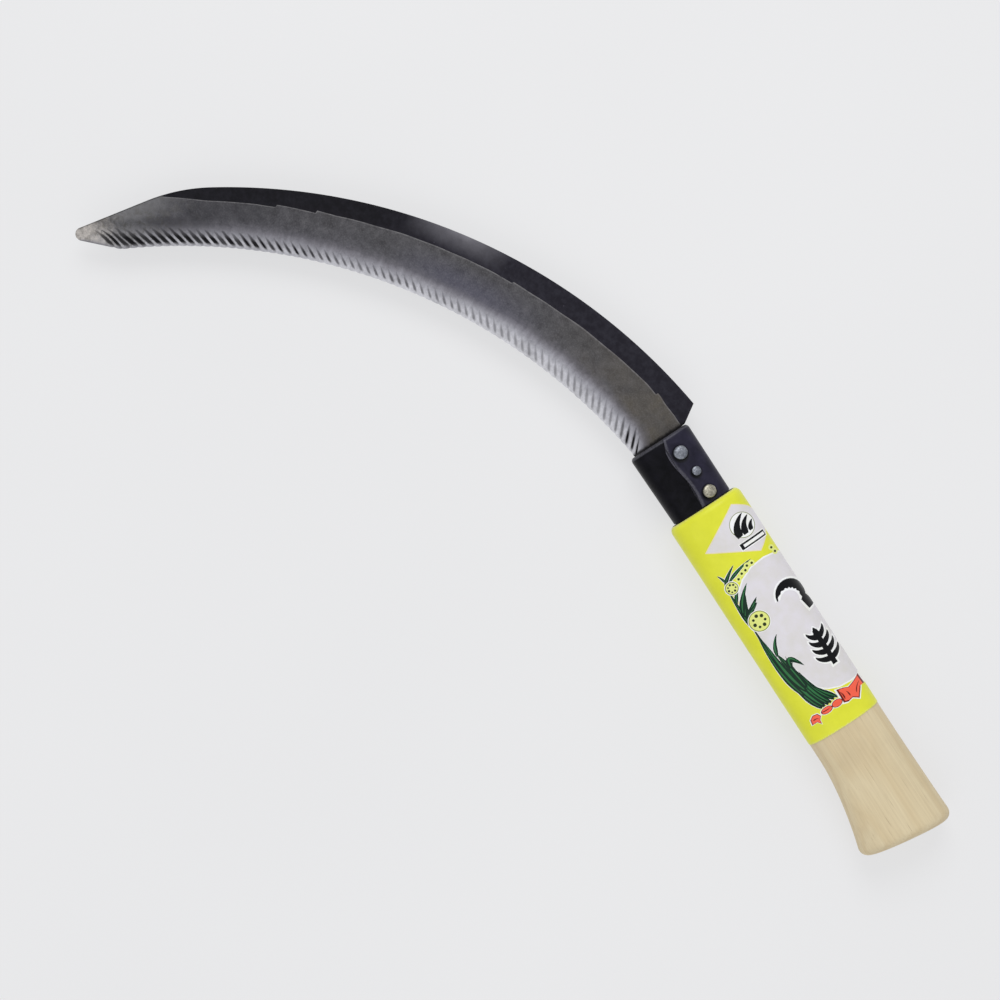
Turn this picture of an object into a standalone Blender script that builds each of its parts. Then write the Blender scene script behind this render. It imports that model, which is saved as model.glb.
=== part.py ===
"""Hand sickle: a saw-toothed blade riveted through a ferrule into a wooden handle.

The origin is the centre of the butt's flat face, on the handle's axis. +X runs along the
handle to the blade, +Y to the cutting side, and +Z out of the blade's toothed face.
"""
import math

import bmesh
import bpy
from mathutils import Vector

MM = 0.001
CLEARANCE = 0.3 * MM          # between pieces that touch or pass through each other
ROUND_SEGMENTS = 32           # faces round the handle, the ferrule and the label
BEND_STEPS = 4                # faces along each rounded edge
BLADE_CREASE = 25.0           # sharpest angle between faces that still shades smooth, in degrees
ROUND_CREASE = 35.0

# Blade: the back is an arc, a tighter bend and a straight run to the rounded tip
BACK_CENTRE = Vector((133.5, 183.9)) * MM
BACK_RADIUS = 201.5 * MM
HEEL_ANGLE = math.radians(-82.8)
BEND_START = math.radians(-31.5)
BEND_RADIUS = 60.0 * MM
BEND_END = math.radians(-11.0)
NOSE_RUN = 24.2 * MM
TIP_RADIUS = 2.15 * MM

# Blade: the toothed edge is an arc and a short plain land
EDGE_CENTRE = Vector((130.6, 203.6)) * MM
EDGE_RADIUS = 195.3 * MM
EDGE_START = math.radians(-82.85)
EDGE_END = math.radians(-27.1)
LAND_DIRECTION = math.radians(48.4)

BLADE_THICKNESS = 1.5 * MM
BAND_WIDTH = 6.8 * MM         # unground band along the back
BAND_END = 0.86               # where it ends, as a fraction of the back's length
BAND_TAPER = 60.0 * MM        # how fast it narrows, per unit of that fraction
THINNEST_BAND = 0.3 * MM
HEEL_STEP = 0.85              # share of the band's width taken up by the heel's slant
ROOT_THICKNESS = 0.8 * MM     # where the tooth grooves begin
CREST_THICKNESS = 0.4 * MM    # at the edge, between grooves
VALLEY_THICKNESS = 0.2 * MM   # at the edge, in a groove

TOOTH_COUNT = 72
FIRST_TOOTH = 0.0084          # where the teeth start and end, as fractions of the edge
LAST_TOOTH = 0.959
TOOTH_NOTCH = 0.4 * MM        # how far a groove bites into the edge
SHORTEST_GROOVE = 4.5 * MM    # grooves are shortest here along the edge, and longer at its ends
SHORTEST_GROOVE_AT = 0.45
GROOVE_GAIN = 12.0 * MM
GROOVE_LEAN = 35.0            # towards the tip, in degrees, at the heel
GROOVE_LEAN_GAIN = 11.0
DEEPEST_ROOT = 0.6            # no groove reaches further across the blade than this share
TIP_COLUMNS = 4
ROW_COUNT = 5                 # points across the blade in each column

# Tang, hidden in the handle
TANG_END_X = 104.5 * MM
TANG_MOUTH_X = 154.9 * MM
TANG_LOW_Y = -8.6 * MM
TANG_HIGH_Y = 5.4 * MM
TANG_BEVEL_X = 3.0 * MM
TANG_CORNER = 1.5 * MM
HEEL_LEDGE = 1.0 * MM         # from the heel's slant to the tang, along the mouth

# Handle
HANDLE_HALF_WIDTH = 13.2 * MM
HANDLE_HALF_THICKNESS = 9.7 * MM
HANDLE_ROUNDNESS = 2.3        # exponent of the cross-section's superellipse
SHOULDER_X = 128.4 * MM
SHOULDER_ROUND_X = 2.4 * MM
SHOULDER_ROUND_Y = 2.0 * MM
NOSE_END_X = 152.4 * MM
FLARE_START_X = 36.0 * MM
FLARE_LENGTH = 30.0 * MM
FLARE_HEIGHT = 4.6 * MM       # the hook that keeps the hand from slipping off
FLARE_POWER = 1.6
SWELL = 0.5 * MM              # the butt's slight gain on its other sides
BUTT_SLANT = math.tan(math.radians(8.0))
BUTT_ROUND = 3.5 * MM
FLARE_STEPS = 6

# Ferrule
FERRULE_REAR_X = 128.7 * MM
FERRULE_MOUTH_X = 154.5 * MM
FERRULE_REAR_HALF_WIDTH = 10.8 * MM
FERRULE_MOUTH_HALF_WIDTH = 11.1 * MM
FERRULE_REAR_OFFSET = 0.2 * MM
FERRULE_MOUTH_OFFSET = 0.5 * MM
FERRULE_HALF_THICKNESS = 8.0 * MM
FERRULE_ROUNDNESS = 2.5
FERRULE_SHEET = 0.8 * MM
FERRULE_LIP = 0.9 * MM        # how far the mouth is turned in past the sheet's inner face
LIP_BEND_X = 1.6 * MM         # where the sheet starts to turn in, back from the mouth
LIP_LENGTH = 0.8 * MM
MOUTH_BEVEL_X = 0.6 * MM      # the rounded corner outside the lip, as two flats
MOUTH_BEVEL_SMALL = 0.3 * MM
MOUTH_BEVEL_LARGE = 0.9 * MM
SEAM_GAP = 0.3 * MM

# Label
LABEL_REAR_X = 43.6 * MM
LABEL_FRONT_X = 128.3 * MM
LABEL_SHEET = 0.2 * MM
LABEL_GAP = 0.4 * MM
LABEL_STRAIGHT_STEPS = 4

# Rivets: name, X, Y, head radius, shank radius, head height, all of the lengths in mm
RIVETS = (
    ("rivet_front", 147.7, -3.2, 2.4, 1.3, 0.9),
    ("rivet_middle", 139.8, -4.3, 1.6, 0.8, 0.6),
    ("rivet_rear", 131.9, -4.3, 2.3, 1.3, 0.9),
)
RIVET_SEGMENTS = 16
HEAD_RIM = 0.25 * MM
DOME_RINGS = ((0.45, 0.92), (0.85, 0.60))   # shares of the head's radius and of its height


def clear_scene():
    for item in list(bpy.data.objects):
        bpy.data.objects.remove(item, do_unlink=True)


def make_material(name, colour, roughness, metallic):
    material = bpy.data.materials.new(name)
    material.use_nodes = True
    shader = material.node_tree.nodes["Principled BSDF"]
    shader.inputs["Base Color"].default_value = (*colour, 1.0)
    shader.inputs["Roughness"].default_value = roughness
    shader.inputs["Metallic"].default_value = metallic
    material.diffuse_color = (*colour, 1.0)
    return material


def make_object(name, mesh_maker, material, smooth_angle):
    """Turn a bmesh into a named object with its normals outward and its creases sharp."""
    bmesh.ops.recalc_face_normals(mesh_maker, faces=mesh_maker.faces)
    mesh = bpy.data.meshes.new(name)
    mesh_maker.to_mesh(mesh)
    mesh_maker.free()
    mesh.shade_smooth()
    mesh.set_sharp_from_angle(angle=math.radians(smooth_angle))
    mesh.materials.append(material)
    item = bpy.data.objects.new(name, mesh)
    bpy.context.scene.collection.objects.link(item)
    return item


def add_cut(item, cutter):
    cut = item.modifiers.new("cut_" + cutter.name, "BOOLEAN")
    cut.operation = "DIFFERENCE"
    cut.solver = "EXACT"
    cut.object = cutter


def mark_as_cutter(item):
    item.hide_render = True
    item.display_type = "WIRE"


# Plan outlines, as runs of arcs and lines measured by distance along them

def direction(angle):
    return Vector((math.cos(angle), math.sin(angle)))


def arc(centre, radius, start, end):
    def point(share):
        return centre + radius * direction(start + (end - start) * share)
    return radius * abs(end - start), point


def line(start, end):
    def point(share):
        return start.lerp(end, share)
    return (end - start).length, point


def point_on(run, fraction):
    """The point at a fraction of a run's whole length."""
    distance = fraction * sum(length for length, _ in run)
    for length, point in run[:-1]:
        if distance <= length:
            return point(distance / length)
        distance -= length
    length, point = run[-1]
    return point(min(distance / length, 1.0))


def blade_outline():
    """The back's run, the edge's run and the centre of the rounded tip."""
    bend_centre = BACK_CENTRE + (BACK_RADIUS - BEND_RADIUS) * direction(BEND_START)
    bend_exit = bend_centre + BEND_RADIUS * direction(BEND_END)
    nose = bend_exit + NOSE_RUN * direction(BEND_END + math.pi / 2)
    tip_centre = nose - TIP_RADIUS * direction(BEND_END)
    land_start = EDGE_CENTRE + EDGE_RADIUS * direction(EDGE_END)
    land_end = tip_centre + TIP_RADIUS * direction(LAND_DIRECTION + math.pi / 2)
    back = (
        arc(BACK_CENTRE, BACK_RADIUS, HEEL_ANGLE, BEND_START),
        arc(bend_centre, BEND_RADIUS, BEND_START, BEND_END),
        line(bend_exit, nose),
    )
    edge = (
        arc(EDGE_CENTRE, EDGE_RADIUS, EDGE_START, EDGE_END),
        line(land_start, land_end),
    )
    return back, edge, tip_centre


def tooth_columns():
    """Fractions along the edge, each with whether a tooth groove meets the edge there."""
    columns = []
    pitch = (LAST_TOOTH - FIRST_TOOTH) / TOOTH_COUNT
    for tooth in range(TOOTH_COUNT):
        columns.append((FIRST_TOOTH + tooth * pitch, True))
        columns.append((FIRST_TOOTH + (tooth + 0.5) * pitch, False))
    for step in range(TIP_COLUMNS):
        columns.append((LAST_TOOTH + (1.0 - LAST_TOOTH) * step / TIP_COLUMNS, False))
    return columns


def blade_column(back, edge, fraction, is_groove):
    """Five top points from the back to the edge: back, heel step, grind line, root, edge."""
    upper = BLADE_THICKNESS / 2
    lower = -BLADE_THICKNESS / 2
    back_point = point_on(back, fraction)
    edge_point = point_on(edge, fraction)
    inward = (back_point - edge_point).normalized()
    band = max(min(BAND_WIDTH, (BAND_END - fraction) * BAND_TAPER), THINNEST_BAND)

    # The grooves lean towards the tip, more so the nearer they are to it
    groove_length = SHORTEST_GROOVE + GROOVE_GAIN * (fraction - SHORTEST_GROOVE_AT) ** 2
    lean = math.tan(math.radians(GROOVE_LEAN + GROOVE_LEAN_GAIN * fraction))
    edge_length = sum(length for length, _ in edge)
    shift = groove_length * lean / edge_length
    if fraction > LAST_TOOTH:
        shift *= (1.0 - fraction) / (1.0 - LAST_TOOTH)
    root_back = point_on(back, fraction + shift)
    root_edge = point_on(edge, fraction + shift)
    root_inward = (root_back - root_edge).normalized()
    root_depth = min(groove_length, DEEPEST_ROOT * (root_back - root_edge).length)
    root_point = root_edge + root_depth * root_inward

    edge_height = lower + (VALLEY_THICKNESS if is_groove else CREST_THICKNESS)
    if is_groove:
        edge_point = edge_point + TOOTH_NOTCH * inward
    return (
        (*back_point, upper),
        (*(back_point - HEEL_STEP * band * inward), upper),
        (*(back_point - band * inward), upper),
        (*root_point, lower + ROOT_THICKNESS),
        (*edge_point, edge_height),
    )


def first_column(back, edge):
    """The blade's end at the ferrule: the slanted heel, then straight across its mouth."""
    upper = BLADE_THICKNESS / 2
    lower = -BLADE_THICKNESS / 2
    heel = point_on(back, 0.0)
    return (
        (heel.x, heel.y, upper),
        (TANG_MOUTH_X, TANG_LOW_Y - HEEL_LEDGE, upper),
        (TANG_MOUTH_X, TANG_LOW_Y, upper),
        (TANG_MOUTH_X, TANG_HIGH_Y, lower + ROOT_THICKNESS),
        (TANG_MOUTH_X, point_on(edge, 0.0).y, lower + CREST_THICKNESS),
    )


def last_column(tip_centre):
    """The blade's rounded tip, from the back round to the edge."""
    upper = BLADE_THICKNESS / 2
    lower = -BLADE_THICKNESS / 2
    start = BEND_END
    end = LAND_DIRECTION + math.pi / 2
    points = []
    for row in range(ROW_COUNT):
        share = row / (ROW_COUNT - 1)
        point = tip_centre + TIP_RADIUS * direction(start + (end - start) * share)
        height = upper + (lower + CREST_THICKNESS - upper) * share
        points.append((point.x, point.y, height))
    return points


def build_blade(material):
    back, edge, tip_centre = blade_outline()
    columns = [first_column(back, edge)]
    for fraction, is_groove in tooth_columns():
        columns.append(blade_column(back, edge, fraction, is_groove))
    columns.append(last_column(tip_centre))

    shape = bmesh.new()
    grid = [[shape.verts.new(point) for point in column] for column in columns]
    for near, far in zip(grid, grid[1:]):
        for row in range(ROW_COUNT - 1):
            shape.faces.new((near[row], far[row], far[row + 1], near[row + 1]))

    # The tang leaves the mouth between the grind line and the tooth roots
    upper = BLADE_THICKNESS / 2
    bevel_x = TANG_MOUTH_X - TANG_BEVEL_X
    tang_plan = (
        (bevel_x, TANG_HIGH_Y),
        (TANG_END_X + TANG_CORNER, TANG_HIGH_Y),
        (TANG_END_X, TANG_HIGH_Y - TANG_CORNER),
        (TANG_END_X, TANG_LOW_Y + TANG_CORNER),
        (TANG_END_X + TANG_CORNER, TANG_LOW_Y),
        (bevel_x, TANG_LOW_Y),
    )
    tang = [shape.verts.new((x, y, upper)) for x, y in tang_plan]
    first = grid[0]
    shape.faces.new(tang)
    shape.faces.new((tang[-1], first[2], first[3], tang[0]))

    # The flat underside lies below the whole outline
    outline = [column[0] for column in grid]
    outline += grid[-1][1:4]
    outline += [column[4] for column in reversed(grid)]
    outline += [first[3], *tang, first[2], first[1]]
    under = [shape.verts.new((v.co.x, v.co.y, -BLADE_THICKNESS / 2)) for v in outline]
    for index, top in enumerate(outline):
        after = (index + 1) % len(outline)
        shape.faces.new((under[index], under[after], outline[after], top))
    shape.faces.new(reversed(under))
    return make_object("blade", shape, material, BLADE_CREASE)


# Rounded cross-sections of the handle, the ferrule and the label

def superellipse(angle, half_width, half_thickness, exponent):
    across = abs(math.cos(angle)) ** (2.0 / exponent)
    along = abs(math.sin(angle)) ** (2.0 / exponent)
    y = math.copysign(half_width * across, math.cos(angle))
    z = math.copysign(half_thickness * along, math.sin(angle))
    return y, z


def handle_section(x):
    """Centre, half width and half thickness of the bare wood at a place along the handle."""
    flare = max(0.0, (FLARE_START_X - x) / FLARE_LENGTH) ** FLARE_POWER
    high = HANDLE_HALF_WIDTH + FLARE_HEIGHT * flare
    low = HANDLE_HALF_WIDTH + SWELL * flare
    thickness = HANDLE_HALF_THICKNESS + SWELL * flare
    return (high - low) / 2, (high + low) / 2, thickness


def shoulder_inset(x):
    """How far the front shoulder is rounded in at a place along the handle."""
    reach = max(0.0, (x - (SHOULDER_X - SHOULDER_ROUND_X)) / SHOULDER_ROUND_X)
    return SHOULDER_ROUND_Y * (1.0 - math.sqrt(max(0.0, 1.0 - reach ** 2)))


def ferrule_section(x):
    """Centre and half width of the ferrule's outside."""
    share = (x - FERRULE_REAR_X) / (FERRULE_MOUTH_X - FERRULE_REAR_X)
    centre = FERRULE_REAR_OFFSET + (FERRULE_MOUTH_OFFSET - FERRULE_REAR_OFFSET) * share
    growth = FERRULE_MOUTH_HALF_WIDTH - FERRULE_REAR_HALF_WIDTH
    return centre, FERRULE_REAR_HALF_WIDTH + growth * share


def ferrule_surface(x, y):
    """Height of the ferrule's outside above the handle's middle plane."""
    centre, half_width = ferrule_section(x)
    share = abs((y - centre) / half_width) ** FERRULE_ROUNDNESS
    return FERRULE_HALF_THICKNESS * (1.0 - share) ** (1.0 / FERRULE_ROUNDNESS)


def handle_ring(x, inset):
    """One ring of the bare wood; near the butt it leans to match the slanted end."""
    centre, half_width, half_thickness = handle_section(x)
    slant = BUTT_SLANT * max(0.0, 1.0 - x / FLARE_START_X)
    ring = []
    for step in range(ROUND_SEGMENTS):
        angle = 2.0 * math.pi * step / ROUND_SEGMENTS
        y, z = superellipse(
            angle, half_width - inset, half_thickness - inset, HANDLE_ROUNDNESS)
        ring.append((x + slant * (centre + y), centre + y, z))
    return ring


def nose_ring(x):
    """One ring of the reduced nose that fills the ferrule."""
    centre, half_width = ferrule_section(x)
    inset = FERRULE_SHEET + CLEARANCE
    ring = []
    for step in range(ROUND_SEGMENTS):
        angle = 2.0 * math.pi * step / ROUND_SEGMENTS
        y, z = superellipse(
            angle, half_width - inset, FERRULE_HALF_THICKNESS - inset, FERRULE_ROUNDNESS)
        ring.append((x, centre + y, z))
    return ring


def handle_rings():
    rings = []
    for step in range(BEND_STEPS + 1):
        angle = 0.5 * math.pi * step / BEND_STEPS
        x = BUTT_ROUND * (1.0 - math.sin(angle))
        rings.insert(0, handle_ring(x, BUTT_ROUND * (1.0 - math.cos(angle))))
    for step in range(1, FLARE_STEPS + 1):
        x = BUTT_ROUND + (FLARE_START_X - BUTT_ROUND) * step / FLARE_STEPS
        rings.append(handle_ring(x, 0.0))
    for step in range(BEND_STEPS + 1):
        share = math.sin(0.5 * math.pi * step / BEND_STEPS)
        x = SHOULDER_X - SHOULDER_ROUND_X * (1.0 - share)
        rings.append(handle_ring(x, shoulder_inset(x)))
    rings.append(nose_ring(SHOULDER_X))
    rings.append(nose_ring(NOSE_END_X))
    return rings


def build_handle(material, cutters):
    shape = bmesh.new()
    loops = [[shape.verts.new(point) for point in ring] for ring in handle_rings()]
    for near, far in zip(loops, loops[1:]):
        for step in range(ROUND_SEGMENTS):
            after = (step + 1) % ROUND_SEGMENTS
            shape.faces.new((near[step], near[after], far[after], far[step]))
    shape.faces.new(loops[0])
    shape.faces.new(loops[-1])
    handle = make_object("handle", shape, material, ROUND_CREASE)
    for cutter in cutters:
        add_cut(handle, cutter)
    return handle


def build_kerf_cutter(material):
    """The slot in the handle's nose that the tang slides into."""
    centre_x = (TANG_END_X + FERRULE_MOUTH_X) / 2
    size_x = FERRULE_MOUTH_X - TANG_END_X + 2 * CLEARANCE
    size_y = TANG_HIGH_Y - TANG_LOW_Y + 2 * CLEARANCE
    shape = bmesh.new()
    bmesh.ops.create_cube(shape, size=1.0)
    bmesh.ops.scale(
        shape, vec=(size_x, size_y, BLADE_THICKNESS + 2 * CLEARANCE), verts=shape.verts)
    cutter = make_object("kerf_cutter", shape, material, ROUND_CREASE)
    cutter.location = (centre_x, (TANG_HIGH_Y + TANG_LOW_Y) / 2, 0.0)
    mark_as_cutter(cutter)
    return cutter


def build_hole_cutter(rivet, material):
    """The hole that one rivet's shank passes through, in every piece it fastens."""
    name, x, y, _, shank_radius, _ = rivet
    shape = bmesh.new()
    bmesh.ops.create_cone(
        shape, cap_ends=True, segments=RIVET_SEGMENTS, depth=4 * FERRULE_HALF_THICKNESS,
        radius1=shank_radius * MM + CLEARANCE, radius2=shank_radius * MM + CLEARANCE)
    cutter = make_object(name + "_hole", shape, material, ROUND_CREASE)
    cutter.location = (x * MM, y * MM, 0.0)
    mark_as_cutter(cutter)
    return cutter


def build_wrap(name, profile, seam_angle, gap_angle, exponent, material):
    """A sheet rolled round the X axis with a narrow gap where its two ends meet.

    The profile is one closed loop of sections through the sheet: each is x, the section's
    centre, its half width and its half thickness.
    """
    shape = bmesh.new()
    loops = []
    for step in range(ROUND_SEGMENTS + 1):
        turn = (2.0 * math.pi - 2 * gap_angle) * step / ROUND_SEGMENTS
        angle = seam_angle + gap_angle + turn
        loop = []
        for x, centre, half_width, half_thickness in profile:
            y, z = superellipse(angle, half_width, half_thickness, exponent)
            loop.append(shape.verts.new((x, centre + y, z)))
        loops.append(loop)
    for near, far in zip(loops, loops[1:]):
        for index in range(len(profile)):
            after = (index + 1) % len(profile)
            shape.faces.new((near[index], near[after], far[after], far[index]))
    shape.faces.new(loops[0])
    shape.faces.new(loops[-1])
    return make_object(name, shape, material, ROUND_CREASE)


def gap_half_angle(gap, half_width, exponent):
    """The angle from the seam's middle that leaves half of the gap on each side."""
    return math.asin((gap / 2 / half_width) ** (exponent / 2))


def build_ferrule(material, cutters):
    # Distance along X and depth below the outside, from the rear rim round to it again
    mouth = FERRULE_MOUTH_X
    lip_depth = FERRULE_SHEET + FERRULE_LIP
    stations = (
        (FERRULE_REAR_X, 0.0),
        (mouth - LIP_BEND_X, 0.0),
        (mouth - MOUTH_BEVEL_X, MOUTH_BEVEL_SMALL),
        (mouth, MOUTH_BEVEL_LARGE),
        (mouth, lip_depth),
        (mouth - LIP_LENGTH, lip_depth),
        (mouth - LIP_BEND_X, FERRULE_SHEET),
        (FERRULE_REAR_X, FERRULE_SHEET),
    )
    profile = []
    for x, depth in stations:
        centre, half_width = ferrule_section(x)
        profile.append((x, centre, half_width - depth, FERRULE_HALF_THICKNESS - depth))
    gap = gap_half_angle(SEAM_GAP, FERRULE_REAR_HALF_WIDTH, FERRULE_ROUNDNESS)
    ferrule = build_wrap("ferrule", profile, math.pi / 2, gap, FERRULE_ROUNDNESS, material)
    for cutter in cutters:
        add_cut(ferrule, cutter)
    return ferrule


def build_label(material):
    # A long straight stretch, then short steps over the handle's rounded shoulder
    bend_x = SHOULDER_X - SHOULDER_ROUND_X
    stations = []
    for step in range(LABEL_STRAIGHT_STEPS):
        stations.append(LABEL_REAR_X + (bend_x - LABEL_REAR_X) * step / LABEL_STRAIGHT_STEPS)
    for step in range(BEND_STEPS + 1):
        share = math.sin(0.5 * math.pi * step / BEND_STEPS)
        stations.append(bend_x + (LABEL_FRONT_X - bend_x) * share)
    outer = [(x, CLEARANCE + LABEL_SHEET) for x in stations]
    inner = [(x, CLEARANCE) for x in reversed(stations)]
    profile = []
    for x, height in outer + inner:
        centre, half_width, half_thickness = handle_section(x)
        rise = height - shoulder_inset(x)
        profile.append((x, centre, half_width + rise, half_thickness + rise))
    gap = gap_half_angle(LABEL_GAP, HANDLE_HALF_WIDTH, HANDLE_ROUNDNESS)
    return build_wrap("label", profile, -math.pi / 2, gap, HANDLE_ROUNDNESS, material)


def build_rivet(rivet, material):
    """A shank with a low dome hammered over the ferrule on both faces."""
    name, x, y, head_radius, shank_radius, head_height = rivet
    head_radius *= MM
    shank_radius *= MM
    head_height *= MM
    # Radius and height above the ferrule of each ring, from the dome down to the shank
    rings = [(across * head_radius, up * head_height) for across, up in DOME_RINGS]
    rings += [(head_radius, HEAD_RIM), (head_radius, 0.0), (shank_radius, 0.0)]
    shape = bmesh.new()
    loops = []
    for side in (1.0, -1.0):
        for radius, height in rings if side > 0.0 else reversed(rings):
            loop = []
            for step in range(RIVET_SEGMENTS):
                angle = 2.0 * math.pi * step / RIVET_SEGMENTS
                dx = radius * math.cos(angle)
                dy = radius * math.sin(angle)
                surface = ferrule_surface(x * MM + dx, y * MM + dy)
                loop.append(shape.verts.new((dx, dy, side * (surface + CLEARANCE + height))))
            loops.append(loop)
    for near, far in zip(loops, loops[1:]):
        for step in range(RIVET_SEGMENTS):
            after = (step + 1) % RIVET_SEGMENTS
            shape.faces.new((near[step], near[after], far[after], far[step]))
    crown = ferrule_surface(x * MM, y * MM) + CLEARANCE + head_height
    for loop, height in ((loops[0], crown), (loops[-1], -crown)):
        apex = shape.verts.new((0.0, 0.0, height))
        for step in range(RIVET_SEGMENTS):
            after = (step + 1) % RIVET_SEGMENTS
            shape.faces.new((loop[step], loop[after], apex))
    item = make_object(name, shape, material, ROUND_CREASE)
    item.location = (x * MM, y * MM, 0.0)
    return item


def main():
    clear_scene()
    steel = make_material("blade_steel", (0.115, 0.112, 0.112), 0.38, 0.9)
    wood = make_material("handle_wood", (0.66, 0.56, 0.40), 0.60, 0.0)
    coated = make_material("ferrule_black", (0.012, 0.012, 0.018), 0.42, 0.4)
    grey = make_material("rivet_grey", (0.17, 0.18, 0.20), 0.40, 0.9)
    small_grey = make_material("rivet_small_grey", (0.16, 0.17, 0.19), 0.42, 0.9)
    warm = make_material("rivet_warm", (0.27, 0.24, 0.17), 0.45, 0.9)
    paper = make_material("label_film", (0.72, 0.77, 0.03), 0.35, 0.0)
    guide = make_material("cutter_guide", (0.5, 0.5, 0.5), 0.5, 0.0)

    holes = [build_hole_cutter(rivet, guide) for rivet in RIVETS]
    kerf = build_kerf_cutter(guide)
    blade = build_blade(steel)
    for hole in holes:
        add_cut(blade, hole)
    pieces = [blade, build_handle(wood, [kerf, *holes]), build_ferrule(coated, holes)]
    pieces.append(build_label(paper))
    for rivet, material in zip(RIVETS, (grey, small_grey, warm)):
        pieces.append(build_rivet(rivet, material))

    sickle = bpy.data.objects.new("hand_sickle", None)
    bpy.context.scene.collection.objects.link(sickle)
    for item in [*pieces, *holes, kerf]:
        item.parent = sickle


main()
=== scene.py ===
"""Looks of the hand sickle: fine meshes, materials, stage, lights and camera.

Everything is in metres in the imported model's frame: the origin is the centre of the butt's flat
face,
+X runs along the handle to the blade, +Y to the cutting side, +Z out of the toothed face.
"""
import math
import random

import bmesh
import bpy
import numpy as np
from mathutils import Matrix, Vector, noise
from mathutils.geometry import delaunay_2d_cdt


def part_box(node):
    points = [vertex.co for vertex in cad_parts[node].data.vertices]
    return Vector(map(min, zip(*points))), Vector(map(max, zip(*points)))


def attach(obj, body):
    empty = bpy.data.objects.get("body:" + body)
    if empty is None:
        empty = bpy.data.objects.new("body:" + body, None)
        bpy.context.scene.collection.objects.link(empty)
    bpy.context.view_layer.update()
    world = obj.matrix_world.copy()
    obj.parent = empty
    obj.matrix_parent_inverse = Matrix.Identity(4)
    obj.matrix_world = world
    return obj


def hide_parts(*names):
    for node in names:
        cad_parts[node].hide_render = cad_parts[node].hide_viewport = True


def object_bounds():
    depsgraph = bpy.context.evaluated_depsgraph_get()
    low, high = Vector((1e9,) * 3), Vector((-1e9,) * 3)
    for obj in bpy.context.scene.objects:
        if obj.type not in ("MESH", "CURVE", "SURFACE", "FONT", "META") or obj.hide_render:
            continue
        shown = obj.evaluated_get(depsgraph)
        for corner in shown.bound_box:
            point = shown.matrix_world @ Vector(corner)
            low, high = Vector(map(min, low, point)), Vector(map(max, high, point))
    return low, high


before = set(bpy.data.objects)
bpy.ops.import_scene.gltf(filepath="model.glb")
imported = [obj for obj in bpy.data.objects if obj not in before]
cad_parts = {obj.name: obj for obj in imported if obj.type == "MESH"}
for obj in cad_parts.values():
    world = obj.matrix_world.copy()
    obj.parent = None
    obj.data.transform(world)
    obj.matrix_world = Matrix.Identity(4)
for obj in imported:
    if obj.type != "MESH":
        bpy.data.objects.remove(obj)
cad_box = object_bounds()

MM = 0.001
CLEARANCE = 0.3 * MM

# Blade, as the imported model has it: two arcs and a straight run on the back, an arc and a land
BACK_CENTRE = Vector((133.5, 183.9)) * MM
BACK_RADIUS = 201.5 * MM
HEEL_ANGLE = math.radians(-82.8)
BEND_START = math.radians(-31.5)
BEND_RADIUS = 60.0 * MM
BEND_END = math.radians(-11.0)
NOSE_RUN = 24.2 * MM
TIP_RADIUS = 2.15 * MM
EDGE_CENTRE = Vector((130.6, 203.6)) * MM
EDGE_RADIUS = 195.3 * MM
EDGE_START = math.radians(-82.85)
EDGE_END = math.radians(-27.1)
LAND_DIRECTION = math.radians(48.4)
CREST_THICKNESS = 0.4 * MM
TANG_LOW_Y = -8.6 * MM
TANG_HIGH_Y = 5.4 * MM
TANG_CORNER = 1.5 * MM
TANG_BEVEL_X = 3.0 * MM
HEEL_STEP = 0.85
HEEL_LEDGE = 1.0 * MM

# Blade surface
GRIND_CENTRE = Vector((128.43, 195.96)) * MM      # the grind line is an arc of its own
GRIND_RADIUS = 207.47 * MM
WEDGE_START = 0.75                                # then it runs straight to the back
WEDGE_POINT = Vector((310.8, 92.8)) * MM
WEDGE_DIRECTION = math.radians(52.4)
THINNEST_BAND = 0.3 * MM
BAND_WANDER = 0.22 * MM
BAND_WAVES = 23.0
BAND_RELIEF = 0.015 * MM
# painted shade along the back's rim where the band has run out
RIM_SHADE = 0.55
GROUND_CURVE = 0.7                                # a power: the ground face is fuller than flat
STEP_RUN = 0.12 * MM
STEP_DROP = 0.09 * MM
BACK_CHAMFER = 0.2 * MM
GRIND_STEPS = (                                   # place along the back, run, height in mm
    (0.0, 0.04, 1.4), (0.047, 0.02, 0.8), (0.322, 0.035, 0.6), (0.636, 0.03, 0.9),
    (0.697, 0.03, 0.8))

TOOTH_COUNT = 72
FIRST_TOOTH = 0.0084
LAST_TOOTH = 0.959
TOOTH_OFFSETS = (-0.24, -0.12, 0.0, 0.12, 0.24, 0.37, 0.5, 0.63)
TOOTH_NOTCH = 0.2 * MM
SHORTEST_GROOVE = 4.5 * MM
SHORTEST_GROOVE_AT = 0.45
GROOVE_GAIN = 12.0 * MM
GROOVE_LEAN = 35.0
GROOVE_LEAN_GAIN = 11.0
GROOVE_TIP_LEAN = 9.0                             # leaning over further just before the tip
GROOVE_TIP_LEAN_POWER = 12
LAST_LEAN_CUT = 0.35                              # and the very last ones leaning less again
LAST_LEAN_CUT_START = 0.91
LAST_LEAN_CUT_RUN = 0.045
GROOVE_DEPTH = 0.2 * MM
GROOVE_HALF_WIDTH = 0.26
WIDER_START = 0.55                                # grooves widen towards the tip
WIDER_RUN = 0.3
WIDER_GAIN = 0.7
GROOVE_PLACES = (0.0, 0.02, 0.055, 0.22, 0.32, 0.47, 0.54, 0.64, 0.72, 0.8)
GROOVE_BOLDNESS = (1.0, 1.0, 0.47, 0.42, 0.5, 0.68, 0.64, 0.95, 1.0, 1.0)
GROOVE_BOW = 0.12                                 # grooves start off the edge halfway along
GROOVE_EDGE_RISE = 0.24                           # parts of a groove's length
GROOVE_ROOT_FALL = 0.55
DEEPEST_ROOT = 0.6
BLADE_CREASE = 24.0
TIP_COLUMNS = 20
TOOTH_ROWS = 18
GROUND_ROWS = 11
MOUTH_COLUMN_GAP = 0.012

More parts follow.
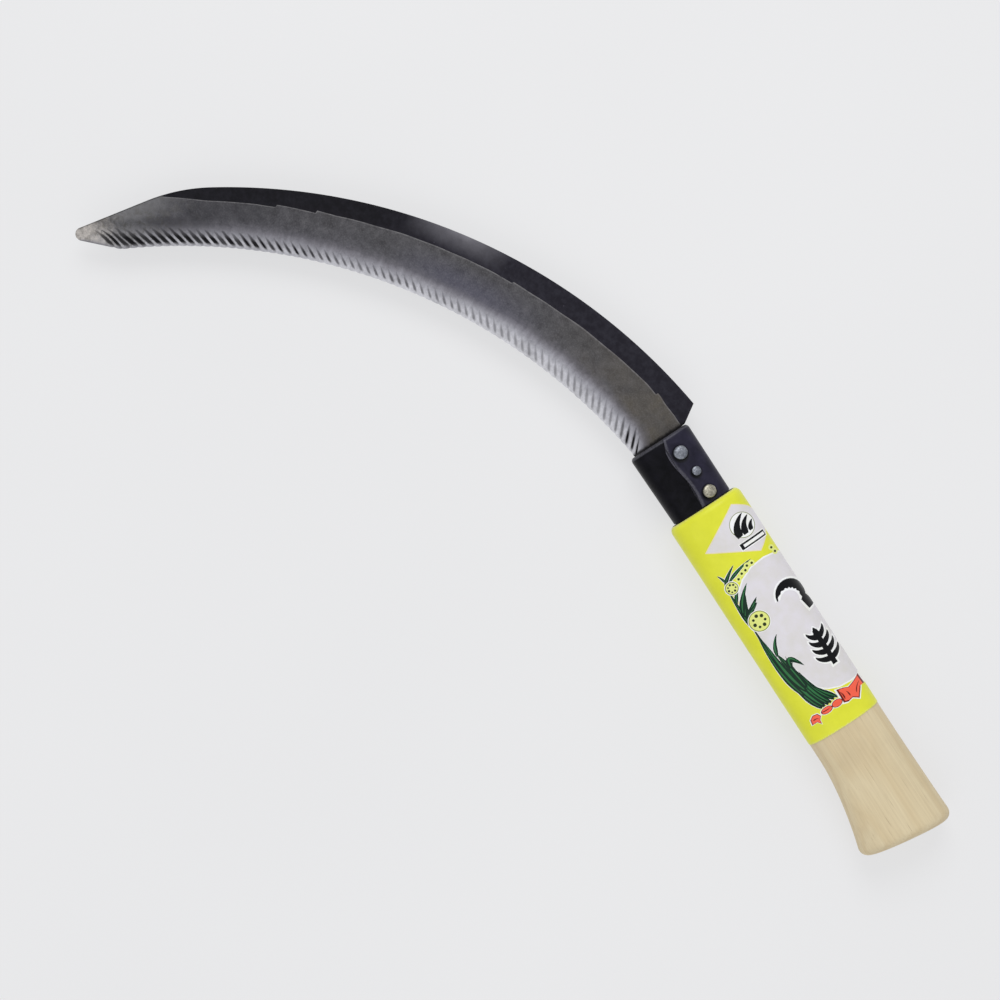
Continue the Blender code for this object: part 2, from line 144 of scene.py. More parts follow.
# Handle
HANDLE_HALF_WIDTH = 13.2 * MM
HANDLE_HALF_THICKNESS = 9.7 * MM
HANDLE_ROUNDNESS = 2.3
SHOULDER_X = 128.4 * MM
SHOULDER_ROUND_X = 2.4 * MM
SHOULDER_ROUND_Y = 2.0 * MM
FLARE_START_X = 36.0 * MM
FLARE_LENGTH = 30.0 * MM
FLARE_HEIGHT = 4.6 * MM
FLARE_POWER = 1.6
SWELL = 0.5 * MM
BUTT_SLANT = math.tan(math.radians(8.0))
BUTT_ROUND = 3.5 * MM
HANDLE_SEGMENTS = 112
ROUND_CREASE = 40.0
HANDLE_UNEVENNESS = 0.06 * MM
BUTT_STEPS = 9
BODY_STEPS = 60
SHOULDER_STEPS = 6
PITH_BESIDE = 7.0                                 # the pith of the tree, in mm off the axis
PITH_BELOW = 34.0
RING_WIDTH = 2.6

# Ferrule
FERRULE_REAR_HALF_WIDTH = 10.8 * MM
FERRULE_MOUTH_HALF_WIDTH = 11.1 * MM
FERRULE_REAR_OFFSET = 0.2 * MM
FERRULE_MOUTH_OFFSET = 0.5 * MM
FERRULE_ROUNDNESS = 2.5
FERRULE_SHEET = 0.8 * MM
FERRULE_LIP = 0.9 * MM
FERRULE_SEGMENTS = 176
FERRULE_CREASE = 35.0
REAR_RIM_BREAK = 0.12 * MM
LIP_BREAK = 0.1 * MM
LIP_LENGTH = 0.8 * MM
LIP_SLOPE_END = 1.6 * MM
FERRULE_STEPS = 46
MOUTH_STEPS = 6
MOUTH_ROUND_X = 1.5 * MM
MOUTH_ROUND_DEPTH = 1.1 * MM
MOUTH_WEAR = 0.9 * MM
SEAM_GAP = 0.12 * MM
SEAM_WAVE = 0.75 * MM
SEAM_WAVE_LENGTH = 23.5 * MM
SEAM_CREST_X = 147.0 * MM
SEAM_RISE = 0.65 * MM
SEAM_DROP_X = 149.5 * MM
SEAM_DROP_RUN = 4.0 * MM
SEAM_DROP = 0.75 * MM
FLAP_RISE = 0.3 * MM
FLAP_REACH = 2.0 * MM
DIMPLE_DEPTH = 0.2 * MM
DIMPLE_REACH = 0.9 * MM
SHADOW_SHIFT = 0.4 * MM                             # painted shadow: each rivet's dark ring is shifted to its rear, +Y side

# Label
LABEL_LIFT = 0.07 * MM
LABEL_FILM = 0.14 * MM
LABEL_SEAM = 0.4 * MM
LABEL_STEP_X = 2.0
LABEL_SHOULDER_STEPS = 5
LABEL_STEP_AROUND = 1.1
LONGEST_SIDE = 1.0
CIRCLE_SIDES = 28
LEAF_STEPS = 9
CRESCENT_STEPS = 16
CRESCENT_RADIUS = 5.2
CRESCENT_THICKNESS = 3.3

# Rivets: shank radius and how far the head stands above the ferrule
RIVETS = {
    "rivet_front": (1.3 * MM, 0.9 * MM),
    "rivet_middle": (0.8 * MM, 0.6 * MM),
    "rivet_rear": (1.3 * MM, 0.9 * MM),
}
RIVET_SEGMENTS = 48
RIVET_SINK = DIMPLE_DEPTH * 0.8
RIVET_RIM_HEIGHT = 0.05 * MM
DOME_STEPS = 9
DOME_WAVE = 0.07                                  # unevenness of a head, in parts of its radius
DOME_RIPPLE = 0.02
OUT_OF_ROUND = 0.05

# Stage and camera
FLOOR_SIZE = 6.0
FLOOR_CENTRE = (0.16, 0.05)
FLOOR_DROP = 0.1 * MM
FLOOR_GLOW = 0.78
WORLD_STRENGTH = 0.62
SENSOR_WIDTH = 36.0
LENS = 100.0
VIEW_WIDTH = 330.0 * MM
VIEW_SHIFT = Vector((8.75, 0.48)) * MM            # from the middle of the sickle
VIEW_RIGHT = (-0.545, -0.8385, 0.0)

handle_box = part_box("handle")
ferrule_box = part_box("ferrule")
label_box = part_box("label")
blade_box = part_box("blade")
BLADE_UPPER = blade_box[1].z
BLADE_LOWER = blade_box[0].z
FERRULE_REAR_X = ferrule_box[0].x
FERRULE_MOUTH_X = ferrule_box[1].x
FERRULE_HALF_THICKNESS = ferrule_box[1].z
TANG_MOUTH_X = FERRULE_MOUTH_X + 0.06 * MM      # the heel, drawn right up to the ferrule


# Small tools

def srgb(red, green, lit_blue_half):
    """A display colour, each part from 0 to 255, as linear light."""
    linear = []
    for value in (red, green, lit_blue_half):
        share = value / 255
        linear.append(share / 12.92 if share <= 0.04045 else ((share + 0.055) / 1.055) ** 2.4)
    return tuple(linear)


def clamp(value):
    return max(0.0, min(1.0, value))


def smooth(value):
    value = clamp(value)
    return value * value * (3.0 - 2.0 * value)


def add_object(name, data):
    item = bpy.data.objects.new(name, data)
    bpy.context.scene.collection.objects.link(item)
    return item


def add_shape(name, shape):
    """Turn a bmesh into an object."""
    mesh = bpy.data.meshes.new(name)
    shape.to_mesh(mesh)
    shape.free()
    return add_object(name, mesh)


def finish_mesh(name, shape, material, smooth_angle):
    """Turn a bmesh into a piece with outward normals, smooth but for its creases."""
    bmesh.ops.recalc_face_normals(shape, faces=shape.faces)
    item = add_shape(name, shape)
    item.data.materials.append(material)
    set_smooth(item, smooth_angle)
    return item


def join_rings(shape, rings):
    """Faces between each closed ring of vertices and the next."""
    for near, far in zip(rings, rings[1:]):
        for index in range(len(near)):
            after = (index + 1) % len(near)
            shape.faces.new((near[index], near[after], far[after], far[index]))


def set_smooth(item, smooth_angle):
    item.data.shade_smooth()
    item.data.set_sharp_from_angle(angle=math.radians(smooth_angle))


def cut(item, cutters, smooth_angle):
    """Take the cutters' shapes out of a piece, for good."""
    for cutter in cutters:
        modifier = item.modifiers.new(cutter.name, "BOOLEAN")
        modifier.operation = "DIFFERENCE"
        modifier.solver = "EXACT"
        modifier.object = cutter
    depsgraph = bpy.context.evaluated_depsgraph_get()
    carved = bpy.data.meshes.new_from_object(
        item.evaluated_get(depsgraph), preserve_all_data_layers=True, depsgraph=depsgraph)
    item.modifiers.clear()
    item.data = carved
    for cutter in cutters:
        bpy.data.objects.remove(cutter)
    set_smooth(item, smooth_angle)


def place_piece(item, node):
    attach(item, "root")
    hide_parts(node)


class Graph:
    """A material's nodes, with short calls that add a node and give back its output."""

    def __init__(self, name):
        self.material = bpy.data.materials.new(name)
        self.material.use_nodes = True
        self.tree = self.material.node_tree
        self.shader = self.tree.nodes["Principled BSDF"]

    def feed(self, socket, value):
        if isinstance(value, bpy.types.NodeSocket):
            self.tree.links.new(value, socket)
        elif socket.type == "RGBA":
            socket.default_value = (*value, 1.0)
        else:
            socket.default_value = value

    def set(self, name, value):
        self.feed(self.shader.inputs[name], value)

    def node(self, kind, **settings):
        added = self.tree.nodes.new(kind)
        for name, value in settings.items():
            setattr(added, name, value)
        return added

    def place(self, scale=(1.0, 1.0, 1.0)):
        """The point on the piece in millimetres, times a scale for each axis."""
        coordinates = self.node("ShaderNodeTexCoord")
        return self.times(coordinates.outputs["Object"], [1000.0 * part for part in scale])

    def times(self, vector, scale):
        added = self.node("ShaderNodeVectorMath", operation="MULTIPLY")
        self.feed(added.inputs[0], vector)
        added.inputs[1].default_value = scale
        return added.outputs[0]

    def attribute(self, name, output="Fac"):
        return self.node("ShaderNodeAttribute", attribute_name=name).outputs[output]

    def split(self, vector):
        added = self.node("ShaderNodeSeparateXYZ")
        self.feed(added.inputs[0], vector)
        return added.outputs

    def noise(self, vector, scale, detail=4.0, rough=0.55, bend=0.0):
        added = self.node("ShaderNodeTexNoise")
        self.feed(added.inputs["Vector"], vector)
        added.inputs["Scale"].default_value = scale
        added.inputs["Detail"].default_value = detail
        added.inputs["Roughness"].default_value = rough
        added.inputs["Distortion"].default_value = bend
        return added.outputs["Fac"]

    def spots(self, vector, scale):
        """Distance to the nearest of many scattered points."""
        added = self.node("ShaderNodeTexVoronoi")
        self.feed(added.inputs["Vector"], vector)
        added.inputs["Scale"].default_value = scale
        return added.outputs["Distance"]

    def remap(self, value, low, high, to_low=0.0, to_high=1.0):
        added = self.node("ShaderNodeMapRange")
        for name, given in zip(
                ("Value", "From Min", "From Max", "To Min", "To Max"),
                (value, low, high, to_low, to_high)):
            self.feed(added.inputs[name], given)
        return added.outputs[0]

    def calc(self, operation, first, second=0.0):
        added = self.node("ShaderNodeMath", operation=operation)
        self.feed(added.inputs[0], first)
        self.feed(added.inputs[1], second)
        return added.outputs[0]

    def total(self, first, second):
        return self.calc("ADD", first, second)

    def product(self, first, second):
        return self.calc("MULTIPLY", first, second)

    def off_from(self, value, middle):
        """How far a value is from a middle one, whichever side it is on."""
        return self.calc("ABSOLUTE", self.calc("SUBTRACT", value, middle))

    def mix(self, share, first, second, blend="MIX"):
        added = self.node("ShaderNodeMix", data_type="RGBA", blend_type=blend)
        self.feed(added.inputs[0], share)
        self.feed(added.inputs[6], first)
        self.feed(added.inputs[7], second)
        return added.outputs[2]

    def coat(self, base, colour, *fades):
        """A colour over a base, as strong as the product of its fades: each is remap's values."""
        share = self.remap(*fades[0])
        for fade in fades[1:]:
            share = self.product(share, self.remap(*fade))
        return self.mix(share, base, srgb(*colour))

    def ramp(self, value, stops):
        """Colours at places from 0 to 1."""
        added = self.node("ShaderNodeValToRGB")
        self.feed(added.inputs[0], value)
        elements = added.color_ramp.elements
        while len(elements) < len(stops):
            elements.new(0.5)
        for element, (position, colour) in zip(elements, stops):
            element.position = position
            element.color = (*colour, 1.0)
        return added.outputs[0]

    def bump(self, height, depth):
        """Relief of a given depth in millimetres."""
        added = self.node("ShaderNodeBump")
        added.inputs["Distance"].default_value = depth * MM
        self.feed(added.inputs["Height"], height)
        self.set("Normal", added.outputs[0])


# Plan outlines, as runs of arcs and lines measured by distance along them

def direction(angle):
    return Vector((math.cos(angle), math.sin(angle)))


def arc(centre, radius, start, end):
    def point(share):
        return centre + radius * direction(start + (end - start) * share)
    return radius * abs(end - start), point


def line(start, end):
    def point(share):
        return start.lerp(end, share)
    return (end - start).length, point


def run_length(run):
    return sum(length for length, _ in run)


def point_on(run, fraction):
    """The point at a fraction of a run's whole length."""
    distance = fraction * run_length(run)
    for length, point in run[:-1]:
        if distance <= length:
            return point(distance / length)
        distance -= length
    length, point = run[-1]
    return point(min(distance / length, 1.0))


def blade_outline():
    """The back's run, the edge's run and the centre of the rounded tip."""
    bend_centre = BACK_CENTRE + (BACK_RADIUS - BEND_RADIUS) * direction(BEND_START)
    bend_exit = bend_centre + BEND_RADIUS * direction(BEND_END)
    nose = bend_exit + NOSE_RUN * direction(BEND_END + math.pi / 2)
    tip_centre = nose - TIP_RADIUS * direction(BEND_END)
    land_start = EDGE_CENTRE + EDGE_RADIUS * direction(EDGE_END)
    land_end = tip_centre + TIP_RADIUS * direction(LAND_DIRECTION + math.pi / 2)
    back = (
        arc(BACK_CENTRE, BACK_RADIUS, HEEL_ANGLE, BEND_START),
        arc(bend_centre, BEND_RADIUS, BEND_START, BEND_END),
        line(bend_exit, nose),
    )
    edge = (
        arc(EDGE_CENTRE, EDGE_RADIUS, EDGE_START, EDGE_END),
        line(land_start, land_end),
    )
    return back, edge, tip_centre


# Blade

def band_width(back_point, across, fraction):
    """Width of the unground band, which wanders a little and ends in a wedge."""
    width = (back_point - GRIND_CENTRE).length - GRIND_RADIUS
    if fraction > WEDGE_START:
        normal = direction(WEDGE_DIRECTION + math.pi / 2)
        width = (WEDGE_POINT - back_point).dot(normal) / across.normalized().dot(normal)
    width += BAND_WANDER * noise.noise(Vector((fraction * BAND_WAVES, 0.0, 3.0)))
    for place, run, height in GRIND_STEPS:
        near = 0.5 * height * MM * clamp(1.0 - abs(fraction - place) / run)
        width += near if fraction > place else -near
    return max(THINNEST_BAND, width)


def blade_columns():
    """Fraction along the edge, tooth number and place in that tooth, from heel to tip."""
    pitch = (LAST_TOOTH - FIRST_TOOTH) / TOOTH_COUNT
    columns = []
    for tooth in range(TOOTH_COUNT):
        for offset in TOOTH_OFFSETS:
            columns.append((FIRST_TOOTH + (tooth + offset) * pitch, tooth, offset))
    start = columns[-1][0]
    for step in range(1, TIP_COLUMNS):
        share = step / TIP_COLUMNS
        columns.append((start + (1.0 - start) * share, TOOTH_COUNT, 1.0))
    return columns


def blade_rows():
    """Zone and share of that zone for each row, from the back to the edge."""
    rows = [("band", share) for share in (0.0, 0.03, 0.2, 0.4, 0.6, 0.8, 1.0)]
    rows += [("ground", share) for share in (0.0, 0.012, 0.035)]
    rows += [("ground", step / GROUND_ROWS) for step in range(1, GROUND_ROWS + 1)]
    rows += [("teeth", step / TOOTH_ROWS) for step in range(1, TOOTH_ROWS + 1)]
    return rows


def tooth_traits(tooth):
    """How one groove differs from the rest: its length, width and darkness."""
    dice = random.Random(tooth)
    return dice.uniform(0.86, 1.0), dice.uniform(0.85, 1.15), dice.uniform(0.82, 1.0)


def groove_at(tooth, offset, fraction, share):
    """Depth and darkness of a groove at a share of the toothed zone from its root to the edge."""
    length, width, dark = tooth_traits(tooth)
    reach = (1.0 - share) / length
    start = GROOVE_BOW * math.sin(math.pi * clamp(fraction)) ** 2 - 0.02
    near_tip = smooth((fraction - WIDER_START) / WIDER_RUN)
    rise = smooth((reach - start) / GROOVE_EDGE_RISE)
    fall = clamp((1.08 - reach) / GROOVE_ROOT_FALL)
    half = GROOVE_HALF_WIDTH * width * (1.0 + WIDER_GAIN * near_tip) * (0.4 + 0.6 * rise)
    half *= 0.2 + 0.8 * fall
    nearest = abs(offset) if tooth == TOOTH_COUNT - 1 else min(abs(offset), abs(1.0 - offset))
    across = clamp(1.0 - nearest / half)
    boldness = float(np.interp(fraction, GROOVE_PLACES, GROOVE_BOLDNESS))
    darkness = min(1.0, 1.1 * dark * boldness) * rise ** 0.7 * fall ** 0.5
    return rise * fall * across, darkness * clamp((1.9 + 1.2 * near_tip) * across)


def groove_length(fraction):
    """Grooves are shortest near the middle of the blade and longer towards both ends."""
    return SHORTEST_GROOVE + GROOVE_GAIN * (fraction - SHORTEST_GROOVE_AT) ** 2


def blade_point(back, edge, column, row):
    """Place, height and surface traits of one point of the blade's top."""
    fraction, tooth, offset = column
    zone, share = row
    length = groove_length(fraction)
    lean = GROOVE_LEAN + GROOVE_LEAN_GAIN * fraction
    lean += GROOVE_TIP_LEAN * clamp(fraction) ** GROOVE_TIP_LEAN_POWER
    shift = length * math.tan(math.radians(lean)) / run_length(edge)
    shift *= 1.0 - LAST_LEAN_CUT * smooth((fraction - LAST_LEAN_CUT_START) / LAST_LEAN_CUT_RUN)
    shift *= clamp((1.0 - fraction) / (1.0 - LAST_TOOTH))
    leaning = {"band": 0.0, "ground": share, "teeth": 1.0 - share}[zone]
    place = fraction + shift * leaning
    back_point = point_on(back, place)
    across = point_on(edge, place) - back_point
    width = across.length
    band = band_width(back_point, across, place)
    root = min(length, DEEPEST_ROOT * width)
    crest = BLADE_LOWER + CREST_THICKNESS
    start = BLADE_UPPER - STEP_DROP
    grain = noise.noise(Vector((*back_point, 0.0)) * 300.0 + Vector((0.0, 0.0, share * 2.0)))
    dent = dark = 0.0
    if zone == "band":
        distance = band * share
        height = BLADE_UPPER - (BACK_CHAMFER if share == 0.0 else BAND_RELIEF * (1.0 + grain))
    else:
        if zone == "ground":
            distance = band + STEP_RUN + (width - root - band - STEP_RUN) * share
        else:
            distance = width - root * (1.0 - share)
        from_edge = clamp((width - distance) / (width - band - STEP_RUN))
        height = crest + (start - crest) * from_edge ** GROUND_CURVE
    if zone == "teeth" and tooth < TOOTH_COUNT:
        dent, dark = groove_at(tooth, offset, fraction, share)
        height -= GROOVE_DEPTH * dent
        if share == 1.0:
            distance -= TOOTH_NOTCH * clamp(1.0 - abs(offset) / 0.3)
    point = back_point + across * (distance / width)
    has_band = band > 1.5 * THINNEST_BAND
    at_rim = zone == "band" and not has_band
    traits = {
        "scale": 1.0 if zone == "band" and has_band else 0.0,
        # painted shade on the back's rim; in the grooves, soiling and painted shade
        "dirt_and_shade": RIM_SHADE if at_rim else dark,
        "grind_line": 1.0 if zone == "ground" and share < 0.02 and has_band else 0.0,
        "from_edge": (width - distance) / MM,
        "along": place * run_length(back) / MM,
    }
    return Vector((point.x, point.y, height)), traits


def heel_point(heel, edge_y, row):
    """The blade's end at the ferrule: the slanted heel, then straight across its mouth."""
    zone, share = row
    corner = Vector((TANG_MOUTH_X, TANG_LOW_Y - HEEL_LEDGE))
    if zone == "band" and share < HEEL_STEP:
        return heel.lerp(corner, share / HEEL_STEP)
    spans = {
        "band": (corner.y, TANG_LOW_Y, (share - HEEL_STEP) / (1.0 - HEEL_STEP)),
        "ground": (TANG_LOW_Y, TANG_HIGH_Y, share),
        "teeth": (TANG_HIGH_Y, edge_y, share),
    }
    start, end, part = spans[zone]
    return Vector((TANG_MOUTH_X, start + (end - start) * part))


def mouth_columns(back, edge, rows, heel, first):
    """Columns between the mouth and the first tooth, with the groove that the ferrule cuts off."""
    pitch = (LAST_TOOTH - FIRST_TOOTH) / TOOTH_COUNT
    columns = []
    for number, offset in enumerate(TOOTH_OFFSETS, start=1):
        fraction = FIRST_TOOTH + (offset - 1.0) * pitch
        column = []
        for index, row in enumerate(rows):
            near, traits = heel[index]
            far = first[index][0]
            place = near
            if row[0] == "teeth":
                place, traits = blade_point(back, edge, (fraction, -1, offset), row)
            least = MOUTH_COLUMN_GAP * number
            most = 1.0 - MOUTH_COLUMN_GAP * (len(TOOTH_OFFSETS) + 1 - number)
            share = min(max((place.x - near.x) / (far.x - near.x), least), most)
            spot = near.lerp(far, share)
            if row[0] == "teeth":
                spot.z = min(spot.z, place.z)
            column.append((spot, traits))
        columns.append(column)
    return columns


def blade_grid():
    """Points and traits of the top, one list for each column from heel to tip."""
    back, edge, tip_centre = blade_outline()
    rows = blade_rows()
    grid = [[blade_point(back, edge, column, row) for row in rows] for column in blade_columns()]

    heel = []
    for row in rows:
        point, traits = blade_point(back, edge, (0.0, 0, 0.6), row)
        plan = heel_point(point_on(back, 0.0), point_on(edge, 0.0).y, row)
        heel.append((Vector((plan.x, plan.y, point.z)), traits))
    grid = mouth_columns(back, edge, rows, heel, grid[0]) + grid

    tip = []
    last = grid[-1]
    end = LAND_DIRECTION + math.pi / 2
    for index, (point, traits) in enumerate(last):
        angle = BEND_END + (end - BEND_END) * index / (len(rows) - 1)
        plan = tip_centre + TIP_RADIUS * direction(angle)
        tip.append((Vector((plan.x, plan.y, point.z)), traits))
    return [heel, *grid, tip], rows


def tang_points(first, rows):
    """Columns of the tang behind the mouth, between the grind line and the tooth roots."""
    low = rows.index(("band", 1.0))
    high = rows.index(("ground", 1.0))
    end_x = blade_box[0].x
    columns = []
    for x, corner in (
            (TANG_MOUTH_X - TANG_BEVEL_X, 0.0), (end_x + TANG_CORNER, 0.0), (end_x, TANG_CORNER)):
        column = []
        for index in range(low, high + 1):
            share = (index - low) / (high - low)
            y = TANG_LOW_Y + corner + (TANG_HIGH_Y - TANG_LOW_Y - 2 * corner) * share
            column.append((Vector((x, y, BLADE_UPPER)), first[index][1]))
        columns.append(column)
    return columns, low, high


def add_columns(shape, layers, columns):
    """Vertices of the top and of the flat underside below it, column by column."""
    tops = []
    unders = []
    for column in columns:
        top = []
        under = []
        for index, (point, traits) in enumerate(column):
            vertex = shape.verts.new(point)
            rise = BACK_CHAMFER if index == 0 and len(column) == len(columns[0]) else 0.0
            below = shape.verts.new((point.x, point.y, BLADE_LOWER + rise))
            for name, layer in layers.items():
                vertex[layer] = traits[name]
                below[layer] = traits[name]
            below[layers["dirt_and_shade"]] = 0.0
            below[layers["grind_line"]] = 0.0
            below[layers["scale"]] = 1.0 if traits["from_edge"] > 2.2 else 0.0
            top.append(vertex)
            under.append(below)
        tops.append(top)
        unders.append(under)
    return tops, unders


def build_blade(material):
    grid, rows = blade_grid()
    tang, low, high = tang_points(grid[0], rows)
    shape = bmesh.new()
    names = ("scale", "dirt_and_shade", "grind_line", "from_edge", "along")
    layers = {name: shape.verts.layers.float.new(name) for name in names}
    tops, unders = add_columns(shape, layers, grid)
    tang_tops, tang_unders = add_columns(shape, layers, tang)

    def skin(near, far):
        for index in range(len(near) - 1):
            shape.faces.new((near[index], far[index], far[index + 1], near[index + 1]))

    def plate(upper, lower):
        """Both faces, both long rims and the far end."""
        for sheets in (upper, lower):
            for near, far in zip(sheets, sheets[1:]):
                skin(near, far)
        for row in (0, -1):
            skin([column[row] for column in upper], [column[row] for column in lower])
        skin(upper[-1], lower[-1])

    plate(tops, unders)
    skin(tops[0][:low + 1], unders[0][:low + 1])
    skin(tops[0][high:], unders[0][high:])
    tang_tops.insert(0, tops[0][low:high + 1])
    tang_unders.insert(0, unders[0][low:high + 1])
    plate(tang_tops, tang_unders)
    blade = finish_mesh("sickle_blade", shape, material, BLADE_CREASE)
    cut(blade, rivet_hole_cutters(), BLADE_CREASE)
    return blade


# Rounded cross-sections

def superellipse(angle, half_width, half_thickness, exponent):
    across = abs(math.cos(angle)) ** (2.0 / exponent)
    along = abs(math.sin(angle)) ** (2.0 / exponent)
    y = math.copysign(half_width * across, math.cos(angle))
    z = math.copysign(half_thickness * along, math.sin(angle))
    return y, z


def angle_at(y, half_width, exponent):
    """The angle on the top half of a section at a distance from its centre."""
    share = clamp(abs(y) / half_width) ** (exponent / 2)
    return math.acos(math.copysign(share, y))


def handle_section(x):
    """Centre, half width and half thickness of the bare wood at a place along the handle."""
    flare = max(0.0, (FLARE_START_X - x) / FLARE_LENGTH) ** FLARE_POWER
    high = HANDLE_HALF_WIDTH + FLARE_HEIGHT * flare
    low = HANDLE_HALF_WIDTH + SWELL * flare
    return (high - low) / 2, (high + low) / 2, HANDLE_HALF_THICKNESS + SWELL * flare


def shoulder_inset(x):
    """How far the front shoulder is rounded in at a place along the handle."""
    reach = clamp((x - (SHOULDER_X - SHOULDER_ROUND_X)) / SHOULDER_ROUND_X)
    return SHOULDER_ROUND_Y * (1.0 - math.sqrt(1.0 - reach ** 2))


def handle_point(x, angle, rise):
    """A point above the wood; near the butt it leans to match the slanted end."""
    centre, half_width, half_thickness = handle_section(x)
    round_the_axis = Vector((x / MM * 0.05, 2.0 * math.cos(angle), 2.0 * math.sin(angle)))
    rise += HANDLE_UNEVENNESS * (noise.noise(round_the_axis) - 0.5) - shoulder_inset(x)
    y, z = superellipse(angle, half_width + rise, half_thickness + rise, HANDLE_ROUNDNESS)
    slant = BUTT_SLANT * max(0.0, 1.0 - x / FLARE_START_X)
    return Vector((x + slant * (centre + y), centre + y, z))


def ferrule_section(x):
    """Centre and half width of the ferrule's outside."""
    share = (x - FERRULE_REAR_X) / (FERRULE_MOUTH_X - FERRULE_REAR_X)
    centre = FERRULE_REAR_OFFSET + (FERRULE_MOUTH_OFFSET - FERRULE_REAR_OFFSET) * share
    growth = FERRULE_MOUTH_HALF_WIDTH - FERRULE_REAR_HALF_WIDTH
    return centre, FERRULE_REAR_HALF_WIDTH + growth * share


def ferrule_surface(x, y):
    """Height of the ferrule's plain outside above the handle's middle plane."""
    centre, half_width = ferrule_section(x)
    share = clamp(abs((y - centre) / half_width)) ** FERRULE_ROUNDNESS
    return FERRULE_HALF_THICKNESS * (1.0 - share) ** (1.0 / FERRULE_ROUNDNESS)


def rivet_places():
    """Name, centre and head radius of each rivet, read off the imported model."""
    places = []
    for name in RIVETS:
        low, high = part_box(name)
        places.append((name, (low + high) / 2, (high.x - low.x) / 2))
    return places


RIVET_PLACES = rivet_places()


def dimple(x, y):
    """How far the sheet is driven in around the rivets."""
    deepest = 0.0
    for _, centre, radius in RIVET_PLACES:
        distance = math.hypot(x - centre.x, y - centre.y)
        deepest = max(deepest, smooth((radius + DIMPLE_REACH - distance) / DIMPLE_REACH))
    return DIMPLE_DEPTH * deepest


def rivet_hole_cutters():
    cutters = []
    for name, centre, _ in RIVET_PLACES:
        shape = bmesh.new()
        radius = RIVETS[name][0] + CLEARANCE
        bmesh.ops.create_cone(
            shape, cap_ends=True, segments=RIVET_SEGMENTS, radius1=radius, radius2=radius,
            depth=4 * FERRULE_HALF_THICKNESS)
        bmesh.ops.translate(shape, vec=(centre.x, centre.y, 0.0), verts=shape.verts)
        cutters.append(add_shape(name + "_hole", shape))
    return cutters


def kerf_cutter():
    """The slot in the handle's nose that the tang slides into."""
    low = Vector((blade_box[0].x - CLEARANCE, TANG_LOW_Y - CLEARANCE, BLADE_LOWER - CLEARANCE))
    high = Vector((TANG_MOUTH_X, TANG_HIGH_Y + CLEARANCE, BLADE_UPPER + CLEARANCE))
    shape = bmesh.new()
    bmesh.ops.create_cube(shape, size=1.0)
    bmesh.ops.scale(shape, vec=high - low, verts=shape.verts)
    bmesh.ops.translate(shape, vec=(low + high) / 2, verts=shape.verts)
    return add_shape("kerf", shape)


# Handle

def handle_rings():
    """Rings of points from the butt to the end of the nose."""
    turns = [2.0 * math.pi * step / HANDLE_SEGMENTS for step in range(HANDLE_SEGMENTS)]
    bend_x = SHOULDER_X - SHOULDER_ROUND_X
    stations = []
    for step in range(BUTT_STEPS + 1):
        angle = 0.5 * math.pi * (1.0 - step / BUTT_STEPS)
        inset = BUTT_ROUND * (1.0 - math.cos(angle))
        stations.append((BUTT_ROUND * (1.0 - math.sin(angle)), -inset))
    for step in range(1, BODY_STEPS + 1):
        stations.append((BUTT_ROUND + (bend_x - BUTT_ROUND) * step / BODY_STEPS, 0.0))
    for step in range(1, SHOULDER_STEPS + 1):
        reach = math.sin(0.5 * math.pi * step / SHOULDER_STEPS)
        stations.append((bend_x + SHOULDER_ROUND_X * reach, 0.0))
    rings = [[handle_point(x, turn, rise) for turn in turns] for x, rise in stations]
    inset = FERRULE_SHEET + CLEARANCE
    for x in (SHOULDER_X, handle_box[1].x):
        centre, half_width = ferrule_section(x)
        ring = []
        for turn in turns:
            y, z = superellipse(
                turn, half_width - inset, FERRULE_HALF_THICKNESS - inset, FERRULE_ROUNDNESS)
            ring.append(Vector((x, centre + y, z)))
        rings.append(ring)
    return rings


def build_handle(material):
    shape = bmesh.new()
    loops = [[shape.verts.new(point) for point in ring] for ring in handle_rings()]
    join_rings(shape, loops)
    shape.faces.new(loops[0])
    shape.faces.new(loops[-1])
    handle = finish_mesh("wooden_handle", shape, material, ROUND_CREASE)
    cut(handle, [kerf_cutter(), *rivet_hole_cutters()], ROUND_CREASE)
    return handle


# Ferrule

def seam_y(x):
    """The rolled sheet's free edge, cut by hand in a wave that drops away at the mouth."""
    wave = math.cos(2.0 * math.pi * (x - SEAM_CREST_X) / SEAM_WAVE_LENGTH)
    return SEAM_RISE + SEAM_WAVE * wave - SEAM_DROP * smooth((x - SEAM_DROP_X) / SEAM_DROP_RUN)


def ferrule_profile():
    """Place along X and depth below the outside, from the rear rim round to it again."""
    mouth = FERRULE_MOUTH_X
    start = FERRULE_REAR_X + REAR_RIM_BREAK
    end = mouth - MOUTH_ROUND_X
    outside = [(FERRULE_REAR_X, REAR_RIM_BREAK), (start, 0.0)]
    for step in range(1, FERRULE_STEPS + 1):
        outside.append((start + (end - start) * step / FERRULE_STEPS, 0.0))
    for step in range(1, MOUTH_STEPS + 1):
        angle = 0.5 * math.pi * step / MOUTH_STEPS
        outside.append((
            end + MOUTH_ROUND_X * math.sin(angle), MOUTH_ROUND_DEPTH * (1.0 - math.cos(angle))))
    lip_depth = FERRULE_SHEET + FERRULE_LIP
    inside = [
        (mouth, lip_depth - LIP_BREAK), (mouth - LIP_BREAK, lip_depth),
        (mouth - LIP_LENGTH, lip_depth), (mouth - LIP_SLOPE_END, FERRULE_SHEET),
        (FERRULE_REAR_X + LIP_BREAK, FERRULE_SHEET), (FERRULE_REAR_X, FERRULE_SHEET - LIP_BREAK)]
    return [(x, depth, False) for x, depth in outside] + [(x, depth, True) for x, depth in inside]


